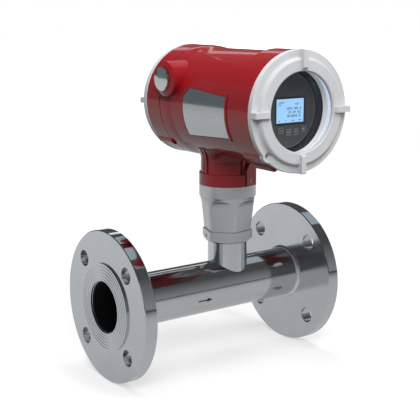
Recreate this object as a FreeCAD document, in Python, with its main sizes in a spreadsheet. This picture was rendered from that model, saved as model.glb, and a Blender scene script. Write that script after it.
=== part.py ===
import FreeCAD, Part
import math
import os

import Sketcher
from FreeCAD import Placement, Rotation, Vector

# Inline gas mass flow meter, in millimetres.
# A flanged meter run carries two temperature probes and, on a stem and a cast adapter,
# a two-chamber display head that turns on the adapter.
# The origin is the centre of the inlet flange's bolt face, just behind its raised sealing
# face. +X is the flow, +Z is up, and the display looks towards -Y.

SIZES = [
    # Meter run
    ("face_to_face", 263.0, "length between the two sealing faces"),
    ("flange_radius", 82.5, "outer radius of both flanges"),
    ("flange_thick", 16.0, "flange thickness with its raised face"),
    ("flange_chamfer", 0.8, "chamfer on the rims of the flanges"),
    ("raised_radius", 47.5, "radius of the raised sealing face"),
    ("raised_height", 2.0, "height of the raised sealing face"),
    ("bolt_circle_radius", 62.5, "radius of the circle of bolt holes"),
    ("bolt_hole_radius", 9.0, "radius of a bolt hole"),
    ("face_groove_start", 31.0, "radius of the innermost groove in the sealing face"),
    ("face_groove_pitch", 3.4, "radial distance between the grooves"),
    ("face_groove_width", 0.9, "width of a groove"),
    ("face_groove_depth", 0.4, "depth of a groove"),
    ("tube_radius", 28.5, "outer radius of the meter tube"),
    ("tube_wall", 2.0, "wall of the meter tube"),
    ("tube_recess", 2.0, "how far the tube ends lie behind the sealing faces"),
    ("slip_gap", 0.15, "radial clearance of the flanges on the tube"),
    ("weld_leg", 3.0, "leg of the fillet welds"),
    # Sensor stem and probes
    ("stem_offset", 161.2, "stem axis from the inlet flange's bolt face"),
    ("stem_radius", 22.4, "outer radius of the sensor stem"),
    ("stem_bore_radius", 12.5, "bore of the stem"),
    ("stem_top", 70.0, "height of the stem's top face"),
    ("holder_gap", 0.1, "radial clearance of the probe holder in the stem"),
    ("holder_bottom", 22.0, "height of the probe holder's lower face"),
    ("holder_flange_radius", 16.0, "radius of the probe holder's flange"),
    ("holder_flange_thick", 6.0, "thickness of the probe holder's flange"),
    ("holder_nipple_radius", 8.0, "radius of the wire nipple on the holder"),
    ("holder_nipple_length", 16.0, "length of the wire nipple"),
    ("holder_wire_radius", 4.0, "wire bore in the holder"),
    ("holder_floor", 12.0, "solid end of the holder below its wire bore"),
    ("seal_groove_depth", 2.3, "depth of the holder's seal groove"),
    ("seal_groove_width", 3.6, "width of the holder's seal groove"),
    ("seal_groove_height", 56.0, "height of the seal groove's lower side"),
    ("seal_squeeze", 0.05, "clearance left round every round seal"),
    ("probe_radius", 2.5, "radius of a probe sheath"),
    ("probe_pitch", 13.0, "distance between the two probes, across the flow"),
    ("probe_socket_depth", 6.0, "how deep the sheaths sit in the holder"),
    ("probe_socket_gap", 0.05, "radial clearance of a sheath in its socket"),
    ("heated_tip", -6.0, "height of the heated probe's tip"),
    ("reference_tip", 3.0, "height of the reference probe's tip"),
    # Cast adapter between the stem and the head
    ("adapter_turn", 11.0, "turn of the hexagon about the stem axis, in degrees"),
    ("socket_gap", 0.1, "radial clearance of the stem in the adapter"),
    ("collar_bottom", 50.8, "height of the adapter's lower face"),
    ("collar_top", 64.2, "height of the hexagonal collar's top"),
    ("collar_flat", 25.2, "collar axis to the middle of a flat"),
    ("collar_corner", 29.1, "collar radius at its corners"),
    ("collar_mouth", 23.3, "radius where the collar's lower bevel ends"),
    ("collar_bevel", 4.6, "height of the collar's lower bevel"),
    ("waist_radius", 26.9, "adapter radius just above the collar"),
    ("shoulder_radius", 30.7, "adapter radius at the top of its cone"),
    ("shoulder_height", 101.5, "height where the cone ends"),
    ("adapter_ring_radius", 32.2, "radius of the adapter's top ring"),
    ("adapter_ring_bottom", 104.0, "height of the top ring's lower edge"),
    ("adapter_top", 117.0, "height of the seat that carries the head"),
    ("flat_low", 24.0, "axis to a panel at its lower end"),
    ("flat_high", 26.4, "axis to a panel where its run-out starts"),
    ("flat_high_height", 91.5, "height where the run-out starts"),
    ("flat_runout_radius", 14.0, "radius of the cutter's run-out"),
    ("adapter_bore", 17.0, "wire bore of the adapter"),
    ("spigot_radius", 26.0, "radius of the spigot that the head turns on"),
    ("spigot_end_land", 7.1, "length of the spigot above its seal groove"),
    ("lock_groove_rise", 4.0, "how far the lock groove lies above the seat"),
    ("lock_groove_width", 4.0, "width of the lock groove"),
    ("lock_groove_depth", 1.6, "depth of the lock groove"),
    ("seal_groove_land", 2.5, "land between the lock groove and the neck seal groove"),
    ("neck_seal_width", 3.4, "width of the neck seal groove"),
    ("neck_seal_depth", 2.6, "depth of the neck seal groove"),
    ("grub_radius", 2.4, "radius of the grub screws in the collar"),
    ("grub_height", 57.6, "height of the grub screws"),
    ("grub_inset", 0.3, "how far the grub screws lie below the flats"),
    ("grub_socket", 1.3, "corner radius of a grub screw's hexagonal socket"),
    ("grub_socket_depth", 1.4, "depth of that socket"),
    # Head
    ("head_height", 208.0, "height of the barrel's axis"),
    ("turn_gap", 0.3, "gap between the head and the adapter's seat"),
    ("turn_fit", 0.05, "radial running clearance of the head on the spigot"),
    ("barrel_radius", 59.8, "radius of the barrel between its rings"),
    ("ring_radius", 62.4, "radius of the rings at both ends"),
    ("front_face", 116.0, "barrel centre to its front face"),
    ("front_ring_length", 33.0, "length of the front ring"),
    ("front_step_length", 5.0, "length of the slope behind the front ring"),
    ("rear_face", 70.5, "barrel centre to its rear face"),
    ("rear_ring_length", 26.5, "length of the rear ring"),
    ("rear_groove_width", 1.2, "width of the line in front of the rear ring"),
    ("rear_groove_depth", 0.8, "depth of that line"),
    ("shoulder_start", 6.0, "where the rear shoulder starts to rise"),
    ("shoulder_end", 38.0, "where the rear shoulder is at its full height"),
    ("chamber_radius", 52.5, "inner radius of both chambers"),
    ("thread_radius", 54.0, "bore radius of the cover threads"),
    ("thread_length", 17.0, "length of the cover threads in the barrel"),
    ("wall_front", 8.0, "front side of the wall between the chambers"),
    ("wall_thick", 4.0, "thickness of that wall"),
    ("seal_seat_radius", 56.0, "counterbore radius for the cover seals"),
    ("seal_seat_depth", 3.0, "counterbore depth for the cover seals"),
    ("flank_radius", 61.2, "radius of the raised flanks"),
    ("flank_front", 92.0, "front end of the flanks, from the barrel centre"),
    ("flank_rear", 32.0, "rear end of the flanks"),
    ("flank_bottom", 43.0, "how far the flanks reach below the axis"),
    ("flank_top_front", 47.5, "height of the crease at its front end"),
    ("flank_top_rear", 59.3, "height of the crease at its rear end"),
    ("crease_start", 70.0, "where the crease starts to curve"),
    ("crease_radius", 600.0, "radius of the curved crease"),
    ("neck_ring_height", 13.0, "height of the ring at the foot of the neck"),
    ("neck_radius", 30.3, "radius of the neck above its ring"),
    ("neck_flare_start", 12.0, "neck height where the flare starts, above the ring"),
    ("neck_flare_height", 16.0, "height of the flare"),
    ("neck_flare_radius", 36.0, "neck radius at the top of the flare"),
    ("neck_root_length", 26.0, "length of the neck's root above the flare, inside the barrel"),
    ("slot_width", 3.0, "width of the upright slots in the neck"),
    ("slot_depth", 1.8, "depth of the upright slots"),
    ("slot_spread", 3.5, "distance of a slot from the middle of its rib"),
    ("buttress_width", 4.2, "width of the side buttresses"),
    ("buttress_reach", 46.0, "reach of the buttresses under the barrel"),
    ("buttress_height", 40.0, "height of the buttresses above the neck's ring"),
    ("buttress_bend", 34.0, "radius of the buttresses' curved edge"),
    ("buttress_root", 4.0, "how deep the buttresses root in the neck"),
    ("buttress_proud", 0.4, "how far the buttresses stand out at their feet"),
    ("arch_angle", -72.0, "direction of the arched lock pad, in degrees"),
    ("arch_half_width", 9.0, "half width of the arched pad"),
    ("arch_above_screw", 10.8, "height of the arch's springing above the lock screw"),
    ("arch_reach", 32.9, "stem axis to the pad's face"),
    ("spigot_end_gap", 2.3, "space left above the spigot in the head"),
    ("duct_radius", 7.0, "radius of the wire duct into the front chamber"),
    ("duct_offset", -12.0, "place of the duct along the barrel"),
    ("boss_radius", 19.2, "radius of the cable entry bosses"),
    ("boss_reach", 69.0, "stem axis to the boss faces"),
    ("boss_bevel", 5.0, "width of the bevel on the boss faces"),
    ("boss_bevel_depth", 2.6, "depth of that bevel along the boss"),
    ("boss_place", 25.9, "place of the bosses along the barrel"),
    ("boss_rise", 27.5, "height of the bosses above the barrel's axis"),
    ("entry_radius", 10.3, "radius of the cable entry bores"),
    ("cover_lock_circle", 58.3, "radius of the circle that the cover lock screws lie on"),
    ("cover_lock_angle", -134.0, "direction of the cover lock screws, in degrees"),
    ("cover_lock_radius", 1.9, "radius of a cover lock screw"),
    ("cover_lock_length", 10.0, "length of a cover lock screw"),
    ("cover_lock_inset", 0.8, "how far a lock screw lies below the end face"),
    ("cover_lock_gap", 0.1, "radial clearance round the lock screws"),
    ("cover_lock_socket", 1.05, "corner radius of a lock screw's hexagonal socket"),
    ("lock_boss_radius", 6.6, "radius of the bulge round a cover lock screw"),
    ("lock_boss_length", 26.0, "length of that bulge"),
    ("foot_pad_angle", -116.0, "direction of the small pad under the front ring, in degrees"),
    ("foot_pad_radius", 4.5, "radius of that pad"),
    ("foot_pad_circle", 61.5, "distance of that pad from the barrel's axis"),
    ("foot_pad_length", 30.0, "length of that pad"),
    ("feed_hole_radius", 6.0, "radius of the feed-through hole between the chambers"),
    ("feed_hole_x", 30.0, "place of the feed-through, sideways"),
    ("feed_hole_z", 26.0, "place of the feed-through, upwards"),
    # Nameplate
    ("plate_thick", 0.5, "thickness of the nameplate"),
    ("plate_front", 76.5, "front edge of the nameplate, from the barrel centre"),
    ("plate_rear", 1.0, "rear edge of the nameplate"),
    ("plate_top_front", 14.5, "height of the plate's front upper corner"),
    ("plate_top_rear", 19.6, "height of the plate's rear upper corner"),
    ("plate_cut", 9.5, "size of the cut at the rear upper corner"),
    ("plate_low_front", 28.1, "depth of the front lower corner below the axis"),
    ("plate_low_rear", 32.2, "depth of the rear lower corner below the axis"),
    ("plate_gap", 0.3, "gap between the plate and its lip"),
    ("lip_width", 2.6, "width of the lip round the plate"),
    ("lip_height", 1.0, "height of the lip above the flank"),
    # Covers
    ("cover_gap", 0.3, "gap between a cover and the barrel's face"),
    ("thread_fit", 0.1, "radial running clearance of the cover threads"),
    ("cover_radius", 62.8, "outer radius of both covers"),
    ("cover_rim_thick", 6.2, "thickness of the outer band of the covers"),
    ("cover_chamfer", 0.6, "chamfer on the rims of the covers"),
    ("spigot_length", 14.8, "length of the threaded spigots"),
    ("cover_foot_radius", 55.4, "radius where the raised inner ring starts"),
    ("cover_ring_radius", 51.6, "radius where the raised ring gets flat"),
    ("cover_ring_rise", 4.4, "height of the raised ring above the outer band"),
    ("cover_slope_rise", 2.6, "height of the steep part of the ring's side"),
    ("cover_shoulder_bend", 2.6, "radius of the ring's rounded shoulder"),
    ("window_ledge", 5.6, "how far the cover's lip reaches over the glass"),
    ("window_bevel", 1.2, "bevel round the window opening"),
    ("window_lip", 3.7, "thickness of the lip in front of the glass"),
    ("glass_seat_radius", 46.5, "radius of the seat of the glass"),
    ("glass_gap", 0.3, "radial gap round the glass and its ring"),
    ("glass_thick", 8.0, "thickness of the glass"),
    ("glass_ring_wall", 2.8, "wall of the ring that holds the glass"),
    ("glass_ring_length", 6.6, "length of that ring"),
    ("lug_width", 5.8, "width of the cover lugs"),
    ("lug_rise", 7.9, "height of the front lugs above the outer band"),
    ("lug_slope", 2.6, "how far a lug's inner end slopes back"),
    ("lug_nose", 0.9, "bevel at the outer end of a lug"),
    ("lug_inner_land", 0.3, "distance of the front lugs from the window's bevel"),
    ("lug_root", 2.0, "how deep the lugs root in the covers"),
    ("notch_radius", 4.2, "radius of the lock notch in the cover rim"),
    ("notch_depth", 3.0, "depth of the lock notch"),
    ("notch_hole_gap", 0.3, "radial clearance of the notch's hole round a lock screw"),
    ("rear_cover_bore", 47.0, "inner radius of the rear cover"),
    ("rear_cover_wall", 4.0, "thickness of the rear cover's end"),
    ("rear_lug_rise", 7.6, "height of the rear lugs above the outer band"),
    ("rear_lug_inner", 36.0, "inner end of the rear lugs"),
    # Display module
    ("bezel_gap", 1.6, "gap between the glass ring and the bezel's rim"),
    ("bezel_depth", 7.0, "how far the display face lies behind the bezel's rim"),
    ("bezel_face_thick", 3.0, "thickness of the display face"),
    ("bezel_inset", 1.5, "how much smaller the bezel is than the seat of the glass"),
    ("bezel_wall", 2.0, "wall of the bezel's skirt"),
    ("bezel_rim_width", 3.4, "width of the bezel's rim"),
    ("bezel_cone", 2.3, "how much the bezel's mouth narrows towards the display"),
    ("bezel_bevel_width", 3.1, "width of the bevel round the display face"),
    ("bezel_edge_rise", 0.9, "height of the bevel round the display face"),
    ("bezel_length", 21.0, "length of the bezel from its rim to the end of its skirt"),
    ("screen_width", 38.4, "width of the screen window"),
    ("screen_height", 26.0, "height of the screen window"),
    ("screen_x", 6.4, "screen centre, sideways"),
    ("screen_z", -1.1, "screen centre, upwards"),
    ("screen_gap", 0.2, "gap round the screen in its window"),
    ("screen_inset", 0.6, "how far the screen lies behind the display face"),
    ("screen_lip", 2.0, "how far the screen's frame reaches behind the face"),
    ("key_size", 6.4, "side of a key"),
    ("key_gap", 0.3, "gap round a key"),
    ("key_proud", 0.7, "height of the keys above the display face"),
    ("key_pitch", 10.2, "distance between keys"),
    ("key_row_x", 8.4, "middle of the row of keys"),
    ("key_row_z", -21.0, "height of the two outer keys"),
    ("key_row_sag", 2.0, "how much lower the two middle keys lie"),
    ("key_collar", 1.0, "how far a key's collar reaches behind the face"),
    ("key_collar_thick", 1.0, "thickness of a key's collar"),
    ("key_travel", 0.5, "travel of a key"),
    ("key_stem_radius", 1.6, "radius of a key's plunger"),
    ("switch_size", 6.0, "side of a key switch"),
    ("switch_height", 1.6, "height of a key switch on its board"),
    ("switch_body", 1.0, "height of a key switch without its button"),
    ("switch_reserve", 0.2, "gap between a pressed key and its switch"),
    ("board_thick", 1.6, "thickness of the circuit boards"),
    ("display_board_depth", 9.4, "distance of the display board behind the display face"),
    ("display_board_gap", 1.5, "radial gap between the display board and the bezel's skirt"),
    ("screw_boss_radius", 3.0, "radius of the bezel's screw bosses"),
    ("screw_boss_inset", 6.0, "distance of the screw bosses from the inside of the skirt"),
    ("board_screw_radius", 1.3, "radius of the board screws"),
    ("board_screw_depth", 4.0, "depth of the screw holes in the bosses"),
    ("board_screw_end", 0.4, "space left below the board screws"),
    ("board_screw_head", 2.6, "head radius of the board screws"),
    ("board_screw_head_thick", 1.8, "head thickness of the board screws"),
    ("post_radius", 2.8, "corner radius of the hexagonal posts"),
    ("post_circle", 35.0, "radius of the circle of the posts"),
    ("front_post_length", 30.4, "length of the posts between display board and main board"),
    ("middle_post_length", 26.4, "length of the posts between main board and power board"),
    ("board_radius", 44.0, "radius of the main and power boards"),
    # Terminal chamber
    ("block_length", 64.0, "length of the terminal block"),
    ("block_height", 17.0, "height of the terminal block"),
    ("block_depth", 17.0, "depth of the terminal block"),
    ("block_step", 7.0, "depth of the block's wiring step"),
    ("block_step_height", 6.5, "height of the wiring step"),
    ("block_rise", -8.0, "height of the block's lower side"),
    ("terminal_pitch", 7.6, "distance between terminals"),
    ("terminal_well_radius", 2.6, "radius of a terminal's screw well"),
    ("terminal_well_depth", 6.0, "depth of a terminal's screw well"),
    ("terminal_screw_radius", 2.2, "head radius of a terminal screw"),
    ("terminal_screw_head", 2.0, "head height of a terminal screw"),
    ("terminal_slot", 0.7, "width of a terminal screw's slot"),
    ("earth_head_radius", 4.6, "head radius of the earth screw"),
    ("earth_head_thick", 3.2, "head thickness of the earth screw"),
    ("earth_washer_radius", 6.2, "radius of the earth screw's washer"),
    ("earth_place", -34.0, "height of the earth screw"),
    # Entry plugs
    ("plug_head_radius", 13.2, "head radius of the entry plugs"),
    ("plug_head_thick", 2.4, "head thickness of the entry plugs"),
    ("plug_bevel", 0.5, "bevel of the plug heads"),
    ("plug_shank_gap", 0.2, "radial clearance of the plugs in their bores"),
    ("plug_shank_length", 13.0, "length of the plug shanks"),
    ("plug_seal_thick", 0.8, "thickness of the flat plug seals"),
]

BOLT_HOLES = 4
FACE_GROOVES = 5
HEX_SIDES = 6
COVER_LUGS = 4
NECK_SIDES = 4
BOARD_SCREWS = 3
SCREW_START = 90
POST_START = 30
WELD_BEND = 1.3
FLARE_BEND = 1.2
TERMINALS = 8
HEX_CORNER = math.cos(math.radians(30))
DIAGONAL = math.sqrt(0.5)
FAR_OUTSIDE = 90.0
CUT_MARGIN = 1.0


class Size:
    """A value and the expression that gives it, worked out side by side."""

    def __init__(self, value, text):
        self.value = value
        self.text = text

    def _join(self, other, sign, result):
        return Size(result, "(%s %s %s)" % (self.text, sign, other.text))

    def __add__(self, other):
        other = as_size(other)
        return self._join(other, "+", self.value + other.value)

    def __sub__(self, other):
        other = as_size(other)
        return self._join(other, "-", self.value - other.value)

    def __mul__(self, other):
        other = as_size(other)
        return self._join(other, "*", self.value * other.value)

    def __truediv__(self, other):
        other = as_size(other)
        return self._join(other, "/", self.value / other.value)

    def __radd__(self, other):
        return as_size(other) + self

    def __rsub__(self, other):
        return as_size(other) - self

    def __rmul__(self, other):
        return as_size(other) * self

    def __neg__(self):
        return as_size(0) - self


def as_size(number):
    if isinstance(number, Size):
        return number
    return Size(float(number), repr(float(number)))


def cosine(angle):
    return Size(math.cos(math.radians(angle.value)), "cos(%s * 1 deg)" % angle.text)


def sine(angle):
    return Size(math.sin(math.radians(angle.value)), "sin(%s * 1 deg)" % angle.text)


doc = FreeCAD.newDocument("gas_mass_flow_meter")


def make_sheet():
    sheet = doc.addObject("Spreadsheet::Sheet", "Sizes")
    named = {}
    for row, (alias, value, meaning) in enumerate(SIZES, start=1):
        sheet.set("A%d" % row, alias)
        sheet.set("B%d" % row, repr(value))
        sheet.setAlias("B%d" % row, alias)
        sheet.set("C%d" % row, meaning)
        named[alias] = Size(value, "Sizes.%s" % alias)
    doc.recompute()
    return named


z = make_sheet()
parts = []


def bind(thing, prop, size):
    size = as_size(size)
    if "Sizes." in size.text:
        thing.setExpression(prop, size.text)
    return size.value


def place(thing, x=0, y=0, up=0, axis=None, angle=0):
    """Set a placement whose base follows the sizes."""
    base = Vector(as_size(x).value, as_size(y).value, as_size(up).value)
    turn = Rotation(axis, as_size(angle).value) if axis else Rotation()
    thing.Placement = Placement(base, turn)
    bind(thing, "Placement.Base.x", x)
    bind(thing, "Placement.Base.y", y)
    bind(thing, "Placement.Base.z", up)
    if axis:
        bind(thing, "Placement.Rotation.Angle", angle)
    return thing


def keep(thing, label):
    thing.Label = label
    parts.append(thing)
    return thing


# Sketches


class Outline:
    """A closed profile of lines and arcs whose corners are bound to sizes."""

    def __init__(self, sketch):
        self.sketch = sketch
        self.corners = []
        self.bends = []

    def to(self, u, v):
        self.corners.append((as_size(u), as_size(v)))
        self.bends.append(None)
        return self

    def arc(self, u, v, radius, left):
        self.corners.append((as_size(u), as_size(v)))
        self.bends.append((as_size(radius), left))
        return self

    def _edge(self, start, end, bend):
        a = Vector(start[0].value, start[1].value, 0)
        b = Vector(end[0].value, end[1].value, 0)
        if bend is None:
            return self.sketch.addGeometry(Part.LineSegment(a, b)), 1, 2
        radius, left = bend
        half = (b - a) * 0.5
        across = Vector(-half.y, half.x, 0).normalize()
        rise = math.sqrt(max(radius.value ** 2 - half.Length ** 2, 0.0))
        centre = a + half + across * (rise if left else -rise)
        circle = Part.Circle(centre, Vector(0, 0, 1), radius.value)
        first, last = (a, b) if left else (b, a)
        angles = [math.atan2(p.y - centre.y, p.x - centre.x) for p in (first, last)]
        index = self.sketch.addGeometry(Part.ArcOfCircle(circle, angles[0], angles[1]))
        return (index, 1, 2) if left else (index, 2, 1)

    def close(self):
        count = len(self.corners)
        edges = []
        for i in range(count):
            following = (i + 1) % count
            edge = self._edge(self.corners[i], self.corners[following], self.bends[following])
            edges.append(edge)
            if self.bends[following]:
                radius = self.bends[following][0]
                pin(self.sketch, ("Radius", edge[0]), radius)
        for i in range(count):
            edge, following = edges[i], edges[(i + 1) % count]
            joint = Sketcher.Constraint("Coincident", edge[0], edge[2], following[0], following[1])
            self.sketch.addConstraint(joint)
            fix_point(self.sketch, following[0], following[1], self.corners[(i + 1) % count])
        return self.sketch


def pin(sketch, terms, size):
    size = as_size(size)
    index = sketch.addConstraint(Sketcher.Constraint(*terms, size.value))
    bind(sketch, "Constraints[%d]" % index, size)


def fix_point(sketch, edge, end, corner):
    """Hold one point on the axes or at its bound distances from them."""
    for size, kind, axis in ((corner[0], "DistanceX", -2), (corner[1], "DistanceY", -1)):
        if size.text == "0.0":
            sketch.addConstraint(Sketcher.Constraint("PointOnObject", edge, end, axis))
        else:
            pin(sketch, (kind, -1, 1, edge, end), size)


def add_circle(sketch, u, v, radius):
    u, v, radius = as_size(u), as_size(v), as_size(radius)
    centre = Vector(u.value, v.value, 0)
    edge = sketch.addGeometry(Part.Circle(centre, Vector(0, 0, 1), radius.value))
    fix_point(sketch, edge, 3, (u, v))
    pin(sketch, ("Radius", edge), radius)


def add_rectangle(sketch, u, v, width, height):
    """A rectangle about its centre."""
    half_width, half_height = as_size(width) / 2, as_size(height) / 2
    outline = Outline(sketch)
    outline.to(u - half_width, v - half_height)
    outline.to(u + half_width, v - half_height)
    outline.to(u + half_width, v + half_height)
    outline.to(u - half_width, v + half_height)
    outline.close()


def add_hexagon(sketch, u, v, corner_radius):
    outline = Outline(sketch)
    for k in range(HEX_SIDES):
        angle = 2 * math.pi * k / HEX_SIDES
        outline.to(u + corner_radius * math.cos(angle), v + corner_radius * math.sin(angle))
    outline.close()


def make_body(name):
    return doc.addObject("PartDesign::Body", name)


def origin_item(body, role):
    return [item for item in body.Origin.OriginFeatures if item.Role == role][0]


def make_sketch(body, name, plane, shift=None, spin=None):
    """A sketch on one of the body's planes; shift is (x, y, out) in the plane's own frame."""
    sketch = body.newObject("Sketcher::SketchObject", name)
    sketch.AttachmentSupport = [(origin_item(body, plane), "")]
    sketch.MapMode = "FlatFace"
    offset = [as_size(s) for s in shift or (0, 0, 0)]
    turn = Rotation(Vector(0, 1, 0), as_size(spin or 0).value)
    sketch.AttachmentOffset = Placement(Vector(*[s.value for s in offset]), turn)
    for letter, size in zip("xyz", offset):
        bind(sketch, "AttachmentOffset.Base.%s" % letter, size)
    if isinstance(spin, Size):
        bind(sketch, "AttachmentOffset.Rotation.Angle", spin)
    return sketch


def revolve(body, sketch, axis="V_Axis", cut=False):
    kind = "PartDesign::Groove" if cut else "PartDesign::Revolution"
    feature = body.newObject(kind, "Turned")
    feature.Profile = sketch
    feature.ReferenceAxis = (sketch, [axis])
    feature.Angle = 360
    return feature


def extrude(body, sketch, length, cut=False, back=False, both=False):
    feature = body.newObject("PartDesign::Pocket" if cut else "PartDesign::Pad", "Extruded")
    feature.Profile = sketch
    feature.Length = bind(feature, "Length", length)
    feature.Reversed = back
    if both:
        feature.SideType = "Symmetric"
    return feature


def repeat_round(body, features, axis, count):
    pattern = body.newObject("PartDesign::PolarPattern", "Repeated")
    pattern.Originals = features
    pattern.Axis = (origin_item(body, axis), [""])
    pattern.Angle = 360
    pattern.Occurrences = count
    body.Tip = pattern
    return pattern


def mirror(body, features, plane):
    pattern = body.newObject("PartDesign::Mirrored", "Mirrored")
    pattern.Originals = features
    pattern.MirrorPlane = (origin_item(body, plane), [""])
    body.Tip = pattern
    return pattern


# Meter run


def flange(label, x, turned):
    body = make_body(label + "_body")
    bore = z["tube_radius"] + z["slip_gap"]
    rim, edge = z["flange_radius"], z["flange_chamfer"]
    outline = Outline(make_sketch(body, "Section", "XY_Plane"))
    outline.to(0, bore).to(0, z["raised_radius"])
    outline.to(z["raised_height"], z["raised_radius"])
    outline.to(z["raised_height"], rim - edge).to(z["raised_height"] + edge, rim)
    outline.to(z["flange_thick"] - edge, rim).to(z["flange_thick"], rim - edge)
    outline.to(z["flange_thick"], bore)
    revolve(body, outline.close(), "H_Axis")
    grooves = make_sketch(body, "FaceGrooves", "XY_Plane")
    for k in range(FACE_GROOVES):
        radius = z["face_groove_start"] + z["face_groove_pitch"] * k
        half = z["face_groove_width"] / 2
        line = Outline(grooves)
        line.to(-CUT_MARGIN, radius - half).to(-CUT_MARGIN, radius + half)
        line.to(z["face_groove_depth"], radius + half).to(z["face_groove_depth"], radius - half)
        line.close()
    revolve(body, grooves, "H_Axis", cut=True)
    hole = make_sketch(body, "BoltHole", "YZ_Plane")
    across = z["bolt_circle_radius"] * DIAGONAL
    add_circle(hole, across, across, z["bolt_hole_radius"])
    drilled = extrude(body, hole, z["flange_thick"] * 2 + CUT_MARGIN, cut=True, both=True)
    repeat_round(body, [drilled], "X_Axis", BOLT_HOLES)
    place(body, x=x, axis=Vector(0, 0, 1), angle=180 if turned else 0)
    return keep(body, label)


def fillet_weld(label, x, turned):
    body = make_body(label + "_body")
    foot, leg = z["tube_radius"], z["weld_leg"]
    outline = Outline(make_sketch(body, "Section", "XY_Plane"))
    outline.to(0, foot).to(leg, foot).arc(0, foot + leg, leg * WELD_BEND, left=True)
    revolve(body, outline.close(), "H_Axis")
    place(body, x=x, axis=Vector(0, 0, 1), angle=180 if turned else 0)
    return keep(body, label)


def meter_tube():
    body = make_body("tube_body")
    place(body, x=-z["raised_height"])
    outer, inner = z["tube_radius"], z["tube_radius"] - z["tube_wall"]
    start, end = z["tube_recess"], z["face_to_face"] - z["tube_recess"]
    outline = Outline(make_sketch(body, "Section", "XY_Plane"))
    outline.to(start, inner).to(end, inner).to(end, outer).to(start, outer)
    revolve(body, outline.close(), "H_Axis")
    hole = make_sketch(body, "ProbeHole", "XY_Plane")
    add_circle(hole, z["stem_offset"] + z["raised_height"], 0, z["stem_bore_radius"])
    extrude(body, hole, outer + CUT_MARGIN, cut=True, back=True)
    return keep(body, "meter_tube")


# Sensor stem and probes


def sensor_stem():
    body = make_body("stem_body")
    outline = Outline(make_sketch(body, "Section", "XZ_Plane"))
    outline.to(z["stem_bore_radius"], 0).to(z["stem_radius"], 0)
    outline.to(z["stem_radius"], z["stem_top"]).to(z["stem_bore_radius"], z["stem_top"])
    revolve(body, outline.close())
    saddle = make_sketch(body, "Saddle", "YZ_Plane")
    add_circle(saddle, 0, 0, z["tube_radius"])
    extrude(body, saddle, z["stem_radius"] * 2 + CUT_MARGIN, cut=True, both=True)
    place(body, x=z["stem_offset"])
    return keep(body, "sensor_stem")


def probe_holder():
    body = make_body("holder_body")
    rod = z["stem_bore_radius"] - z["holder_gap"]
    groove = z["stem_bore_radius"] - z["seal_groove_depth"]
    low, top = z["holder_bottom"], z["stem_top"]
    groove_low = z["seal_groove_height"]
    groove_top = groove_low + z["seal_groove_width"]
    flange_top = top + z["holder_flange_thick"]
    end = flange_top + z["holder_nipple_length"]
    outline = Outline(make_sketch(body, "Section", "XZ_Plane"))
    outline.to(0, low).to(rod, low).to(rod, groove_low).to(groove, groove_low)
    outline.to(groove, groove_top).to(rod, groove_top).to(rod, top)
    outline.to(z["holder_flange_radius"], top).to(z["holder_flange_radius"], flange_top)
    outline.to(z["holder_nipple_radius"], flange_top).to(z["holder_nipple_radius"], end)
    outline.to(z["holder_wire_radius"], end)
    outline.to(z["holder_wire_radius"], low + z["holder_floor"]).to(0, low + z["holder_floor"])
    revolve(body, outline.close())
    sockets = make_sketch(body, "ProbeSockets", "XY_Plane", shift=(0, 0, low))
    for side in (-0.5, 0.5):
        radius = z["probe_radius"] + z["probe_socket_gap"]
        add_circle(sockets, 0, z["probe_pitch"] * side, radius)
    extrude(body, sockets, z["probe_socket_depth"], cut=True, back=True)
    place(body, x=z["stem_offset"])
    return keep(body, "probe_holder")


def probe(label, tip, side):
    body = make_body(label + "_body")
    radius = z["probe_radius"]
    top = z["holder_bottom"] + z["probe_socket_depth"]
    outline = Outline(make_sketch(body, "Section", "XZ_Plane"))
    outline.to(0, tip).arc(radius, tip + radius, radius, left=True).to(radius, top).to(0, top)
    revolve(body, outline.close())
    place(body, x=z["stem_offset"], y=z["probe_pitch"] * side)
    return keep(body, label)


def round_seal(label, inner, outer, squeeze, **where):
    """A round-section ring that lies between two radii."""
    seal = doc.addObject("Part::Torus", label)
    seal.Radius1 = bind(seal, "Radius1", (inner + outer) / 2)
    seal.Radius2 = bind(seal, "Radius2", (outer - inner) / 2 - squeeze)
    place(seal, **where)
    return keep(seal, label)


def holder_seal():
    inner = z["stem_bore_radius"] - z["seal_groove_depth"]
    middle = z["seal_groove_height"] + z["seal_groove_width"] / 2
    where = {"x": z["stem_offset"], "up": middle}
    return round_seal("holder_seal", inner, z["stem_bore_radius"], z["seal_squeeze"], **where)


# Adapter


def spigot_places():
    """Heights on the spigot: both sides of the lock groove and of the seal groove, and its end."""
    lock_low = z["adapter_top"] + z["lock_groove_rise"]
    lock_top = lock_low + z["lock_groove_width"]
    seal_low = lock_top + z["seal_groove_land"]
    seal_top = seal_low + z["neck_seal_width"]
    return lock_low, lock_top, seal_low, seal_top, seal_top + z["spigot_end_land"]


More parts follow.
